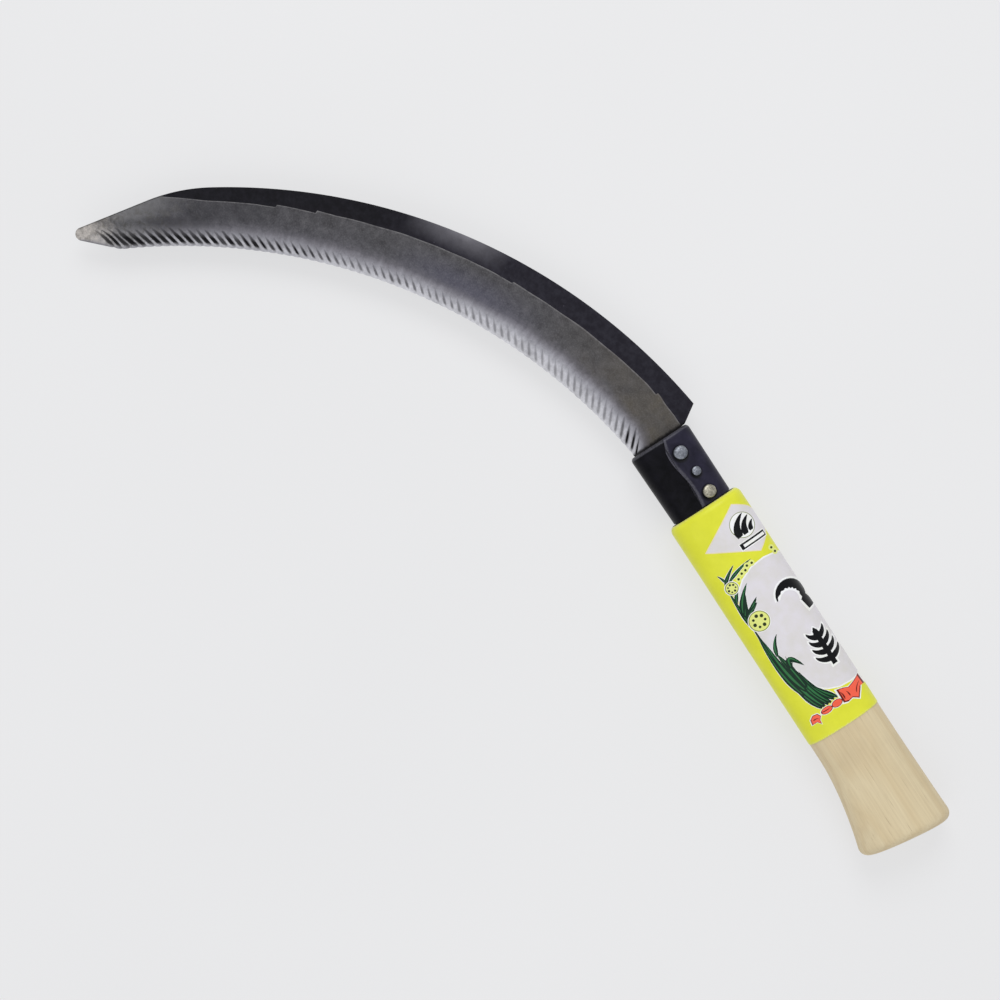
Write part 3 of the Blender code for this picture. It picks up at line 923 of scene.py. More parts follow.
def ferrule_point(x, depth, is_inside, turn_share):
    """A point of the rolled sheet, from the seam's +Y side round to its -Y side."""
    centre, half_width = ferrule_section(x)
    half_width -= depth
    middle = seam_y(x) - centre
    start = angle_at(middle + SEAM_GAP / 2, half_width, FERRULE_ROUNDNESS)
    end = angle_at(middle - SEAM_GAP / 2, half_width, FERRULE_ROUNDNESS)
    # Steps crowd together near the seam and spread out on the far side
    share = turn_share - 0.012 * math.sin(2.0 * math.pi * turn_share)
    angle = start - (2.0 * math.pi - (end - start)) * share
    y, z = superellipse(angle, half_width, FERRULE_HALF_THICKNESS - depth, FERRULE_ROUNDNESS)
    if z > 0.0 and turn_share > 0.5:
        past = (middle - SEAM_GAP / 2 - y) / FLAP_REACH
        z += FLAP_RISE * math.exp(-past ** 2)
    if not is_inside:
        z -= math.copysign(dimple(x, centre + y), z)
    return Vector((x, centre + y, z))


def build_ferrule(material):
    profile = ferrule_profile()
    shape = bmesh.new()
    wear = shape.verts.layers.float.new("wear")
    turn = shape.verts.layers.float.new("turn")
    dirt_and_shade = shape.verts.layers.float.new("dirt_and_shade")
    loops = []
    for step in range(FERRULE_SEGMENTS + 1):
        loop = []
        for x, depth, is_inside in profile:
            vertex = shape.verts.new(
                ferrule_point(x, depth, is_inside, step / FERRULE_SEGMENTS))
            at_rim = 1.0 if x > FERRULE_MOUTH_X - MOUTH_WEAR or depth == REAR_RIM_BREAK else 0.0
            at_seam = 1.0 if step >= FERRULE_SEGMENTS - 1 else 0.0
            vertex[wear] = max(at_rim, at_seam)
            vertex[turn] = step / FERRULE_SEGMENTS
            # soiling round each rivet, shifted into a painted shadow on its rear, +Y side
            vertex[dirt_and_shade] = dimple(
                vertex.co.x + SHADOW_SHIFT, vertex.co.y - SHADOW_SHIFT) / DIMPLE_DEPTH
            loop.append(vertex)
        loops.append(loop)
    join_rings(shape, loops)
    shape.faces.new(loops[0])
    shape.faces.new(loops[-1])
    ferrule = finish_mesh("ferrule_sheet", shape, material, FERRULE_CREASE)
    cut(ferrule, rivet_hole_cutters(), FERRULE_CREASE)
    return ferrule


# Rivets

def rivet_rings(head_radius, shank_radius, head_height):
    """Radius and height above the ferrule of each ring, from the dome down to the shank."""
    rings = []
    rim = 0.2 * head_height
    for step in range(1, DOME_STEPS + 1):
        angle = 0.5 * math.pi * step / DOME_STEPS
        rings.append((
            head_radius * math.sin(angle) ** 0.9,
            rim + (head_height - rim) * math.cos(angle) ** 0.8))
    rings.append((head_radius, RIVET_RIM_HEIGHT))
    rings.append((shank_radius, RIVET_RIM_HEIGHT))
    return rings


def hammered(name, dx, dy, radius):
    """Uneven height of a head that was beaten over, with flats from the hammer."""
    seed = 7.0 * list(RIVETS).index(name)
    reach = math.hypot(dx, dy) / radius
    beaten = noise.noise(Vector((dx / radius * 1.4, dy / radius * 1.4, seed)))
    fine = noise.noise(Vector((dx / radius * 5.0, dy / radius * 5.0, seed + 3.0)))
    return radius * (DOME_WAVE * beaten + DOME_RIPPLE * fine) * (1.0 - 0.6 * reach)


def build_rivet(name, centre, head_radius, material):
    shank_radius, head_height = RIVETS[name]
    rings = rivet_rings(head_radius * 0.97, shank_radius, head_height)
    seed = 11.0 * list(RIVETS).index(name)
    shape = bmesh.new()
    loops = []
    crown = ferrule_surface(centre.x, centre.y)
    for side in (1.0, -1.0):
        ordered = rings if side > 0.0 else list(reversed(rings))
        for radius, height in ordered:
            loop = []
            for step in range(RIVET_SEGMENTS):
                angle = 2.0 * math.pi * step / RIVET_SEGMENTS
                uneven = noise.noise(Vector((1.5 * math.cos(angle), 1.5 * math.sin(angle), seed)))
                out = radius * (1.0 + (OUT_OF_ROUND * uneven if radius > shank_radius else 0.0))
                dx = out * math.cos(angle)
                dy = out * math.sin(angle)
                z = ferrule_surface(centre.x + dx, centre.y + dy) - RIVET_SINK + height
                if height > RIVET_RIM_HEIGHT:
                    z += hammered(name, dx, dy, head_radius)
                loop.append(shape.verts.new((centre.x + dx, centre.y + dy, side * z)))
            loops.append(loop)
    join_rings(shape, loops)
    top = crown - RIVET_SINK + head_height + hammered(name, 0.0, 0.0, head_radius)
    for loop, height in ((loops[0], top), (loops[-1], -top)):
        apex = shape.verts.new((centre.x, centre.y, height))
        for step in range(RIVET_SEGMENTS):
            after = (step + 1) % RIVET_SEGMENTS
            shape.faces.new((loop[step], loop[after], apex))
    return finish_mesh(name + "_head", shape, material, ROUND_CREASE)


# Label: flat art in millimetres, x along the handle and s round it from the top towards +Y

def label_spread():
    """Angles round the label and the distance s of each from the top."""
    angles = np.linspace(-0.5 * math.pi, 1.5 * math.pi, 4001)
    rise = LABEL_LIFT + LABEL_FILM
    points = np.array([superellipse(
        angle, HANDLE_HALF_WIDTH + rise, HANDLE_HALF_THICKNESS + rise, HANDLE_ROUNDNESS)
        for angle in angles]) / MM
    lengths = np.concatenate(([0.0], np.cumsum(np.hypot(*np.diff(points, axis=0).T))))
    top = np.interp(0.5 * math.pi, angles, lengths)
    return angles, top - lengths


SPREAD_ANGLES, SPREAD_S = label_spread()
HALF_ROUND = float(SPREAD_S[0])


def seen(x, y):
    """The flat place of a point on the label as it is seen from above."""
    angle = angle_at(y, HANDLE_HALF_WIDTH / MM, HANDLE_ROUNDNESS)
    return x, float(np.interp(angle, SPREAD_ANGLES, SPREAD_S))


def label_point(x, s, rise):
    angle = np.interp(-s, -SPREAD_S, SPREAD_ANGLES)
    return handle_point(x * MM, float(angle), rise)


def label_normal(x, s):
    reach = 0.05
    rise = LABEL_LIFT + LABEL_FILM
    along = label_point(x + reach, s, rise) - label_point(x - reach, s, rise)
    around = label_point(x, s + reach, rise) - label_point(x, s - reach, rise)
    return along.cross(around).normalized()


YELLOW = srgb(228, 230, 62)
PAPER = srgb(226, 222, 227)
HALO = srgb(246, 246, 247)
INK = srgb(9, 9, 13)
DARK_GREEN = srgb(10, 44, 30)
GREEN = srgb(48, 114, 66)
RED = srgb(252, 104, 80)
DARK_RED = srgb(112, 28, 22)
PALE_GREEN = srgb(232, 238, 140)
OLIVE = srgb(120, 130, 50)
SEED = srgb(44, 56, 26)
PINK = srgb(236, 222, 196)


def circle(x, y, radius, colour, squeeze=1.0):
    points = []
    for step in range(CIRCLE_SIDES):
        angle = 2.0 * math.pi * step / CIRCLE_SIDES
        points.append(seen(x + radius * math.cos(angle), y + squeeze * radius * math.sin(angle)))
    return points, colour


def polygon(points, colour):
    return [seen(x, y) for x, y in points], colour


def leaf(base, bend, tip, width, colour, root=0.35):
    """A pointed leaf along a curve from its base by a bend to its tip."""
    base, bend, tip = Vector(base), Vector(bend), Vector(tip)
    left = []
    right = []
    for step in range(LEAF_STEPS + 1):
        share = step / LEAF_STEPS
        point = base.lerp(bend, share).lerp(bend.lerp(tip, share), share)
        heading = ((bend - base) * (1.0 - share) + (tip - bend) * share).normalized()
        side = Vector((-heading.y, heading.x))
        half = width / 2 * min(1.0, root + 2.2 * share) * (1.0 - share) ** 0.65
        left.append(point + side * half)
        right.append(point - side * half)
    outline = left + list(reversed(right[:-1]))
    return [seen(*point) for point in outline], colour


def leaves(specs):
    """Each leaf with a dark outline and a lighter middle."""
    drawn = []
    for base, bend, tip, width in specs:
        drawn.append(leaf(base, bend, tip, width + 0.5, HALO))
    for index, (base, bend, tip, width) in enumerate(specs):
        drawn.append(leaf(base, bend, tip, width, DARK_GREEN))
        shorter = 0.12 * (index % 4)
        near = Vector(base).lerp(Vector(bend), 0.1)
        far = Vector(tip).lerp(Vector(bend), shorter)
        drawn.append(leaf(near, bend, far, (0.2 + 0.08 * (index % 3)) * width, GREEN, 0.2))
    return drawn


SHEAF = (
    ((52.6, 3.6), (58.0, 7.2), (73.0, 8.4), 2.6),
    ((59.0, 6.2), (68.0, 9.6), (84.0, 8.4), 2.6),
    ((52.6, 2.6), (60.0, 6.8), (80.5, 8.2), 2.8),
    ((63.0, 6.6), (74.0, 8.6), (88.0, 8.2), 2.2),
    ((52.6, 1.2), (60.0, 5.6), (76.5, 6.6), 2.8),
    ((52.6, 0.2), (60.0, 4.9), (73.5, 4.6), 2.4),
    ((53.0, -1.2), (58.0, 2.8), (67.0, 3.7), 2.3),
    ((53.0, -2.6), (56.5, 0.6), (61.5, 3.0), 2.1),
    ((60.0, 4.8), (68.0, 8.0), (81.0, 7.7), 3.0),
    ((61.0, 4.2), (68.0, 5.0), (75.0, 6.2), 3.0),
    ((69.0, 4.9), (74.6, 4.4), (67.4, 0.9), 3.2),
    ((74.5, 6.6), (78.5, 6.0), (81.0, 2.9), 1.9),
)
TOP_LEAVES = (
    ((86.0, 8.4), (94.0, 8.9), (102.0, 8.3), 1.8),
    ((91.0, 8.2), (94.6, 7.0), (97.4, 4.4), 3.2),
    ((89.8, 8.2), (91.6, 6.0), (94.8, 1.8), 2.9),
    ((90.6, 8.0), (91.8, 5.0), (93.2, 2.6), 1.9),
    ((92.0, 8.4), (96.5, 7.0), (100.3, 2.0), 2.5),
    ((96.0, 8.4), (99.0, 7.2), (101.0, 4.6), 1.7),
    ((103.2, 8.2), (105.4, 6.4), (107.6, 2.4), 1.7),
    ((103.6, 7.6), (105.6, 7.9), (107.2, 8.9), 1.1),
    ((103.4, 6.6), (105.6, 2.6), (106.2, -3.4), 1.6),
)


def window_art():
    """The pale window, which runs from under the leaves round the -Y side."""
    outline = [seen(x, y) for x, y in (
        (102.8, -12.4), (104.0, -7.0), (103.6, -2.0), (101.6, 2.6), (98.6, 6.0), (94.0, 8.0),
        (84.0, 8.4), (77.0, 7.6), (70.0, 5.8), (63.0, 3.6), (59.4, 1.6), (57.0, -1.6),
        (55.6, -5.0), (55.1, -9.0), (55.2, -12.4))]
    far = seen(0.0, -12.4)[1] - 12.0
    outline += [(58.0, far + 4.0), (63.0, far), (96.0, far), (100.5, far + 4.0)]
    middle = Vector((79.0, -9.0))
    grown = [tuple(middle + (Vector(point) - middle) * 1.02) for point in outline]
    return [(grown, HALO), (outline, PAPER)]


def disc_art(x, y, radius):
    """A pale disc with a ring of seeds."""
    rings = ((0.0, HALO), (0.25, OLIVE), (0.5, PALE_GREEN))
    drawn = [circle(x, y, radius - inset, colour) for inset, colour in rings]
    for step in range(7):
        angle = 2.0 * math.pi * step / 7
        seed_x = x + 0.52 * radius * math.cos(angle)
        seed_y = y + 0.52 * radius * math.sin(angle)
        drawn.append(circle(seed_x, seed_y, (0.16 - 0.04 * (step % 2)) * radius, SEED))
    return drawn


def tie_art():
    """The red band that ties the sheaf, with a small bow and a broad tail."""
    bow = ((49.3, 9.2), (51.0, 8.9), (52.0, 7.6), (51.8, 6.0), (50.6, 5.3), (49.6, 6.2),
           (48.2, 6.4), (49.4, 7.4))
    tail = ((50.2, -3.3), (55.0, -3.4), (54.4, -5.6), (53.6, -7.2), (54.2, -9.6),
            (55.2, -12.3), (51.4, -12.6), (51.6, -10.9), (49.8, -9.4), (48.6, -8.4),
            (50.0, -6.6), (49.7, -4.8))
    knots = ((51.2, 2.7, 1.1, 1.9), (51.3, -1.3, 1.2, 1.6))
    drawn = []
    for grow, colour in ((1.16, HALO), (1.02, DARK_RED), (0.88, RED)):
        for outline in (bow, tail):
            middle = sum((Vector(point) for point in outline), Vector((0.0, 0.0))) / len(outline)
            drawn.append(polygon(
                [middle + (Vector(point) - middle) * grow for point in outline], colour))
        for x, y, radius, squeeze in knots:
            drawn.append(circle(x, y, radius * grow, colour, squeeze))
    for base, bend, end, width in (
            ((51.0, -4.2), (52.4, -4.6), (53.8, -4.0), 0.7),
            ((50.9, -6.2), (52.0, -6.4), (53.0, -5.8), 0.6),
            ((50.6, -8.6), (52.4, -9.4), (53.2, -11.6), 0.5),
            ((50.4, 8.2), (50.8, 7.2), (50.2, 6.3), 0.5),
            ((51.4, 4.6), (51.0, 2.8), (51.4, 1.0), 0.45)):
        drawn.append(leaf(base, bend, end, width, DARK_RED))
    return drawn


def bar(start, end, width, colour):
    start, end = Vector(start), Vector(end)
    side = (end - start).orthogonal().normalized() * width / 2
    return polygon([start + side, start - side, end - side, end + side], colour)


def ear_mark(x, y):
    """A plain ear of grain, its head towards the blade."""
    drawn = []
    for grow, colour in ((1.3, HALO), (0.0, INK)):
        drawn.append(bar((x - 6.6 - grow / 2, y), (x + 6.2, y), 1.8 + grow, colour))
        drawn.append(leaf((x + 3.6, y), (x + 5.2, y), (x + 7.2 + grow / 2, y), 3.2 + grow, colour))
        for step in range(4):
            base_x = x - 4.4 + 2.7 * step
            reach = 4.6 - 0.45 * step
            for side in (1.0, -1.0):
                drawn.append(leaf(
                    (base_x, y + 0.3 * side), (base_x + 0.9, y + reach * 0.9 * side),
                    (base_x + 3.0 + grow / 2, y + (reach + grow / 3) * side),
                    2.2 + grow, colour, 0.7))
    return drawn


def crescent_mark(x, y):
    """A plain toothed crescent on a short grip."""
    middle = Vector((x + 0.6, y))
    drawn = []
    for grow, colour in ((0.65, HALO), (0.0, INK)):
        outer = []
        inner = []
        for step in range(CRESCENT_STEPS + 1):
            angle = math.radians(-150.0 + 235.0 * step / CRESCENT_STEPS)
            bulge = math.sin(math.pi * (0.08 + 0.9 * step / CRESCENT_STEPS)) ** 0.7
            inside = CRESCENT_RADIUS - CRESCENT_THICKNESS * bulge
            tooth = 0.45 if step % 2 and not grow else 0.0
            outer.append(middle + direction(angle) * (CRESCENT_RADIUS + grow))
            inner.append(middle + direction(angle) * (inside + tooth - grow))
        drawn.append(polygon(outer + list(reversed(inner)), colour))
        drawn.append(bar((x - 2.4, y - 3.2), (x - 6.4 - grow, y - 4.0), 2.6 + 2 * grow, colour))
    return drawn


def badge_art():
    """A plain lozenge with a round mark and an empty bar."""
    x = 115.5
    top = seen(x, 8.2)[1]
    side = seen(x, -7.6)[1]
    low = 2 * side - top
    drawn = []
    for shrink, colour in ((0.0, PINK), (0.045, PAPER)):
        half = 9.1 * (1.0 - shrink)
        reach = (top - side) * (1.0 - shrink)
        drawn.append((
            [(x + half, side), (x, side + reach), (x - half, side), (x, side - reach)], colour))
    drawn.append(circle(x + 1.4, -7.0, 4.3, OLIVE))
    drawn.append(circle(x + 1.4, -7.0, 4.1, HALO))
    for base, bend, tip, width in (
            ((113.8, -4.4), (118.0, -3.8), (120.4, -9.2), 3.2),
            ((113.7, -6.6), (117.2, -6.6), (118.9, -10.4), 2.7),
            ((113.9, -8.8), (115.8, -8.8), (116.8, -11.0), 2.0)):
        drawn.append(leaf(base, bend, tip, width, INK, 0.6))
    for low_x, high_x, low_y, high_y, colour in (
            (109.5, 112.2, -12.2, -2.3, HALO), (109.8, 111.9, -12.0, -2.6, INK),
            (110.3, 111.3, -11.7, -3.7, HALO)):
        corners = ((low_x, high_y), (low_x, low_y), (high_x, low_y), (high_x, high_y))
        drawn.append(polygon(corners, colour))
    return drawn


BUDS = ((102.7, 3.6), (103.7, 1.8), (104.0, 0.2), (105.0, -1.0), (104.9, -2.8), (103.7, -11.5),
        (105.4, -11.1))


def label_art():
    """Every shape on the label, from the bottom of the print to its top."""
    low_x = label_box[0].x / MM
    high_x = label_box[1].x / MM
    half = HALF_ROUND - LABEL_SEAM / MM / 2
    art = [([(low_x, -half), (high_x, -half), (high_x, half), (low_x, half)], YELLOW)]
    art += window_art()
    art += leaves(SHEAF)
    art += leaves(TOP_LEAVES)
    art += disc_art(87.5, 5.3, 3.7)
    art += disc_art(101.3, 7.0, 2.4)
    for radius, colour in ((1.0, PALE_GREEN), (0.42, SEED)):
        art += [circle(x, y, radius, colour) for x, y in BUDS]
    art += tie_art()
    art += ear_mark(69.0, -8.0)
    art += crescent_mark(88.6, -8.0)
    art += badge_art()
    return art


def label_stations():
    """Places along X in mm: even steps, then short ones over the handle's round shoulder."""
    low = label_box[0].x / MM
    high = label_box[1].x / MM
    bend = (SHOULDER_X - SHOULDER_ROUND_X) / MM
    count = round((bend - low) / LABEL_STEP_X)
    stations = [low + (bend - low) * step / count for step in range(count)]
    for step in range(LABEL_SHOULDER_STEPS + 1):
        reach = math.sin(0.5 * math.pi * step / LABEL_SHOULDER_STEPS)
        stations.append(bend + (high - bend) * reach)
    return stations


def fine_outline(outline):
    """The same outline in short sides, which can follow the handle's curve."""
    outline = [Vector(point) for point in outline]
    fine = []
    for start, end in zip(outline, outline[1:] + outline[:1]):
        pieces = max(1, math.ceil((end - start).length / LONGEST_SIDE))
        fine += [start.lerp(end, step / pieces) for step in range(pieces)]
    return fine


def flat_label():
    """Triangles of the flat art, with the colour of the topmost shape for each."""
    points = []
    faces = []
    art = label_art()
    for outline, _ in art:
        outline = fine_outline(outline)
        area = sum(a.x * b.y - b.x * a.y for a, b in zip(outline, outline[1:] + outline[:1]))
        if area < 0.0:
            outline.reverse()
        faces.append(list(range(len(points), len(points) + len(outline))))
        points += outline
    half = HALF_ROUND - LABEL_SEAM / MM / 2
    count = round(2 * half / LABEL_STEP_AROUND)
    for x in label_stations():
        for step in range(count + 1):
            points.append(Vector((x, -half + 2 * half * step / count)))
    points, _, triangles, _, _, sources = delaunay_2d_cdt(points, [], faces, 1, 1e-4, True)
    inside = [(triangle, max(source)) for triangle, source in zip(triangles, sources) if source]
    return points, [triangle for triangle, _ in inside], [art[top][1] for _, top in inside]


def build_label(material):
    points, triangles, colours = flat_label()
    shape = bmesh.new()
    inks = shape.loops.layers.float_color.new("print")
    outer = [shape.verts.new(label_point(p.x, p.y, LABEL_LIFT + LABEL_FILM)) for p in points]
    inner = [shape.verts.new(label_point(p.x, p.y, LABEL_LIFT)) for p in points]
    for triangle, colour in zip(triangles, colours):
        face = shape.faces.new([outer[index] for index in reversed(triangle)])
        under = shape.faces.new([inner[index] for index in triangle])
        for loop in face.loops:
            loop[inks] = (*colour, 1.0)
        for loop in under.loops:
            loop[inks] = (*PAPER, 1.0)
    shape.verts.index_update()
    rim = [edge for edge in shape.edges if edge.is_boundary and edge.verts[0].index < len(outer)]
    for edge in rim:
        start, end = (vertex.index for vertex in edge.verts)
        face = shape.faces.new((outer[start], outer[end], inner[end], inner[start]))
        for loop in face.loops:
            loop[inks] = (*PAPER, 1.0)
    normals = [label_normal(p.x, p.y) for p in points]
    normals += [-normal for normal in normals]
    label = finish_mesh("printed_label", shape, material, 180.0)
    label.data.normals_split_custom_set_from_vertices(normals)
    return label


# Materials

def blade_material():
    """Dark scale on the band, ground grey steel, a bright toothed zone and a dull tip."""
    g = Graph("blade_steel")
    place = g.place()
    scale = g.attribute("scale")
    dirt_and_shade = g.attribute("dirt_and_shade")
    line_share = g.attribute("grind_line")
    from_edge = g.attribute("from_edge")
    along = g.attribute("along")

    plan = g.node("ShaderNodeCombineXYZ")
    g.feed(plan.inputs[0], along)
    g.feed(plan.inputs[1], from_edge)
    streaks = g.noise(g.times(plan.outputs[0], (3.2, 0.3, 1.0)), 1.0, 5.0, 0.6)
    blotches = g.noise(place, 0.11, 5.0, 0.6, 0.4)
    grain = g.noise(place, 1.9, 5.0, 0.72)
    soft_grain = g.noise(place, 0.7, 4.0, 0.6)

    # The bright zone ends unevenly, and sooner from the middle of the blade on
    wander = g.remap(g.noise(g.times(plan.outputs[0], (0.5, 0.05, 1.0)), 1.0), 0.3, 0.7, -0.5, 0.5)
    sooner = g.calc("SUBTRACT", g.remap(along, 66.0, 96.0, 0.0, 1.3),
                    g.remap(along, 140.0, 168.0, 0.0, 0.7))
    depth = g.total(g.total(from_edge, wander), sooner)
    ground = g.ramp(g.remap(depth, 0.0, 24.0), (
        (0.0, srgb(228, 227, 231)), (0.13, srgb(212, 211, 217)), (0.2, srgb(180, 179, 186)),
        (0.27, srgb(148, 146, 153)), (0.33, srgb(114, 112, 118)), (0.41, srgb(91, 90, 94)),
        (0.6, srgb(84, 83, 85)), (1.0, srgb(82, 80, 81))))
    patches = g.noise(place, 0.3, 4.0, 0.65, 0.3)
    blued = g.off_from(along, 86.0)
    for colour, *fades in (
            ((54, 53, 58), (along, 106.0, 150.0, 0.0, 0.2), (depth, 1.0, 4.0)),
            ((78, 77, 82), (along, 158.0, 196.0, 0.0, 0.72), (from_edge, 2.6, 6.0)),
            ((110, 108, 113), (blotches, 0.4, 0.75, 0.0, 0.4)),
            ((64, 63, 66), (soft_grain, 0.35, 0.65, 0.22, 0.0)),
            ((50, 48, 50), (patches, 0.32, 0.5, 0.42, 0.0), (from_edge, 6.0, 9.0)),
            ((124, 122, 124), (patches, 0.52, 0.75, 0.0, 0.36), (from_edge, 6.0, 9.0)),
            ((93, 92, 108), (blued, 8.0, 30.0, 0.5, 0.0), (from_edge, 5.0, 8.0),
             (from_edge, 10.0, 16.0, 1.0, 0.0)),
            ((98, 92, 82), (along, 4.0, 58.0, 1.0, 0.0), (from_edge, 6.0, 10.0),
             (blotches, 0.3, 0.65, 0.3, 0.9)),
            ((60, 59, 62), (streaks, 0.3, 0.7, 0.08, 0.0)),
            ((150, 148, 150), (grain, 0.5, 0.75, 0.0, 0.22)),
            ((40, 39, 42), (grain, 0.28, 0.48, 0.2, 0.0))):
        ground = g.coat(ground, colour, *fades)

    # The dull tip, its stains, and the shading of the steel and the edge on the way to it
    tip = g.total(along, g.remap(soft_grain, 0.3, 0.7, -3.0, 3.0))
    stains = g.noise(place, 0.42, 5.0, 0.7, 0.6)
    dull = g.coat(srgb(202, 195, 188), (128, 123, 119), (grain, 0.35, 0.6, 0.5, 0.0))
    dull = g.coat(dull, (140, 136, 132), (soft_grain, 0.35, 0.55, 0.4, 0.0))
    ground = g.coat(ground, (142, 141, 142), (tip, 195.0, 210.0, 0.0, 0.55))
    ground = g.mix(g.remap(tip, 212.0, 224.0, 0.0, 0.92), ground, dull)
    for colour, *fades in (
            ((84, 81, 74), (stains, 0.47, 0.6), (tip, 180.0, 204.0, 0.0, 0.5)),
            ((96, 96, 100), (from_edge, 0.25, 0.6, 0.65, 0.0), (tip, 210.0, 218.0)),
            ((44, 44, 47), (along, 150.0, 164.0, 0.0, 0.28), (along, 182.0, 190.0, 1.0, 0.0),
             (from_edge, 8.0, 10.0)),
            ((130, 129, 130), (along, 188.0, 198.0, 0.0, 0.4), (from_edge, 9.5, 13.0)),
            ((38, 38, 41), (from_edge, 5.5, 7.5), (from_edge, 8.5, 10.5, 1.0, 0.0),
             (along, 172.0, 188.0, 0.0, 0.45), (grain, 0.35, 0.6, 0.4, 1.0)),
            ((132, 131, 138), (along, 128.0, 146.0, 0.0, 0.4), (from_edge, 0.5, 1.3, 1.0, 0.0))):
        ground = g.coat(ground, colour, *fades)
    faint = g.product(line_share, g.remap(soft_grain, 0.35, 0.6, 0.25, 0.8))
    ground = g.mix(faint, ground, srgb(128, 126, 127))

    # Soiling and painted shade in the grooves, and a painted shadow where the blade comes out of
    # the ferrule
    axes = g.split(place)
    mouth = TANG_MOUTH_X / MM
    mouth_shadow = g.remap(g.total(axes[0], g.remap(soft_grain, 0.3, 0.7, -0.3, 0.3)),
                    mouth + 0.4, mouth + 1.3, 0.95, 0.0)
    dirt_and_shade = g.calc("MAXIMUM", dirt_and_shade, mouth_shadow)

    # Forge scale, with a painted sheen of grey at the middle of the back, and chipped specks
    crust_grain = g.remap(g.noise(place, 0.5, 6.0, 0.65), 0.4, 0.7)
    crust = g.mix(crust_grain, srgb(30, 28, 36), srgb(44, 43, 51))
    darker = g.mix(crust_grain, srgb(17, 16, 21), srgb(29, 28, 34))
    crust = g.mix(g.remap(along, 100.0, 125.0), crust, darker)
    # painted sheen: lighter grey near the back's rim around the middle of the blade
    crust = g.coat(crust, (126, 124, 130), (g.off_from(along, 96.0), 3.0, 19.0, 1.0, 0.0),
                   (from_edge, 17.5, 25.0), (blotches, 0.3, 0.6, 0.6, 1.0))
    specks = g.remap(g.spots(place, 0.45), 0.04, 0.1, 1.0, 0.0)
    chipped = g.product(specks, g.remap(g.noise(place, 0.09, 2.0), 0.56, 0.64))
    crust = g.mix(g.product(chipped, 0.6), crust, srgb(110, 108, 120))
    colour = g.mix(scale, ground, crust)
    # darkened by soiling, painted shade on the rim and in the grooves, and the painted shadow at
    # the mouth
    colour = g.mix(dirt_and_shade, colour, srgb(12, 11, 14))

    scale_dirt_or_shade = g.calc("MAXIMUM", scale, dirt_and_shade)
    bright = g.remap(depth, 3.5, 9.0, 0.4, 0.75)
    g.set("Base Color", colour)
    g.set("Metallic", g.product(bright, g.remap(scale_dirt_or_shade, 0.0, 1.0, 1.0, 0.0)))
    g.set("Specular IOR Level", 0.12)
    rough = g.remap(grain, 0.3, 0.7, 0.36, 0.5)
    g.set("Roughness", g.total(rough, g.remap(scale_dirt_or_shade, 0.0, 1.0, 0.0, 0.22)))
    relief = g.total(g.product(streaks, 0.4), g.product(grain, 0.5))
    g.bump(relief, 0.03)
    return g.material


def wood_material():
    """Pale bare wood: rings about a pith below the handle, fibres and fine pores along it, and a
    painted shadow next to the ferrule.
    """
    g = Graph("handle_wood")
    place = g.place()
    sway = g.noise(g.place((0.012, 0.05, 0.05)), 1.0, 3.0)
    axes = g.split(place)
    beside = g.total(axes[1], PITH_BESIDE)
    below = g.total(axes[2], PITH_BELOW)
    radius = g.calc("SQRT", g.total(g.product(beside, beside), g.product(below, below)))
    radius = g.total(radius, g.product(sway, 9.0))
    ring = g.calc("FRACT", g.calc("DIVIDE", radius, RING_WIDTH))
    late = g.product(g.remap(ring, 0.1, 0.75), g.remap(ring, 0.75, 1.0, 1.0, 0.0))
    fibres = g.noise(g.place((0.035, 1.6, 1.6)), 1.0, 5.0, 0.65)
    pores = g.noise(g.place((0.09, 3.2, 3.2)), 1.0, 2.0, 0.5)
    stain = g.noise(place, 0.05, 4.0, 0.6)

    wood = g.mix(g.product(late, 0.5), srgb(223, 207, 171), srgb(209, 187, 146))
    shoulder = SHOULDER_X / MM
    for colour, fade in (
            ((190, 170, 134), (fibres, 0.35, 0.75, 0.0, 0.4)),
            ((150, 126, 92), (pores, 0.66, 0.78, 0.0, 0.45)),
            ((186, 168, 138), (stain, 0.55, 0.85, 0.0, 0.35)),
            # painted shadow on the wood just behind the ferrule's rear rim
            ((30, 28, 26), (axes[0], shoulder - 1.2, shoulder - 0.2, 0.0, 0.92))):
        wood = g.coat(wood, colour, fade)
    g.set("Base Color", wood)
    g.set("Specular IOR Level", 0.3)
    g.set("Roughness", g.remap(fibres, 0.3, 0.7, 0.5, 0.68))
    relief = g.total(g.product(fibres, 0.5), g.product(late, 0.3))
    g.bump(g.calc("SUBTRACT", relief, g.remap(pores, 0.66, 0.78, 0.0, 0.4)), 0.07)
    return g.material


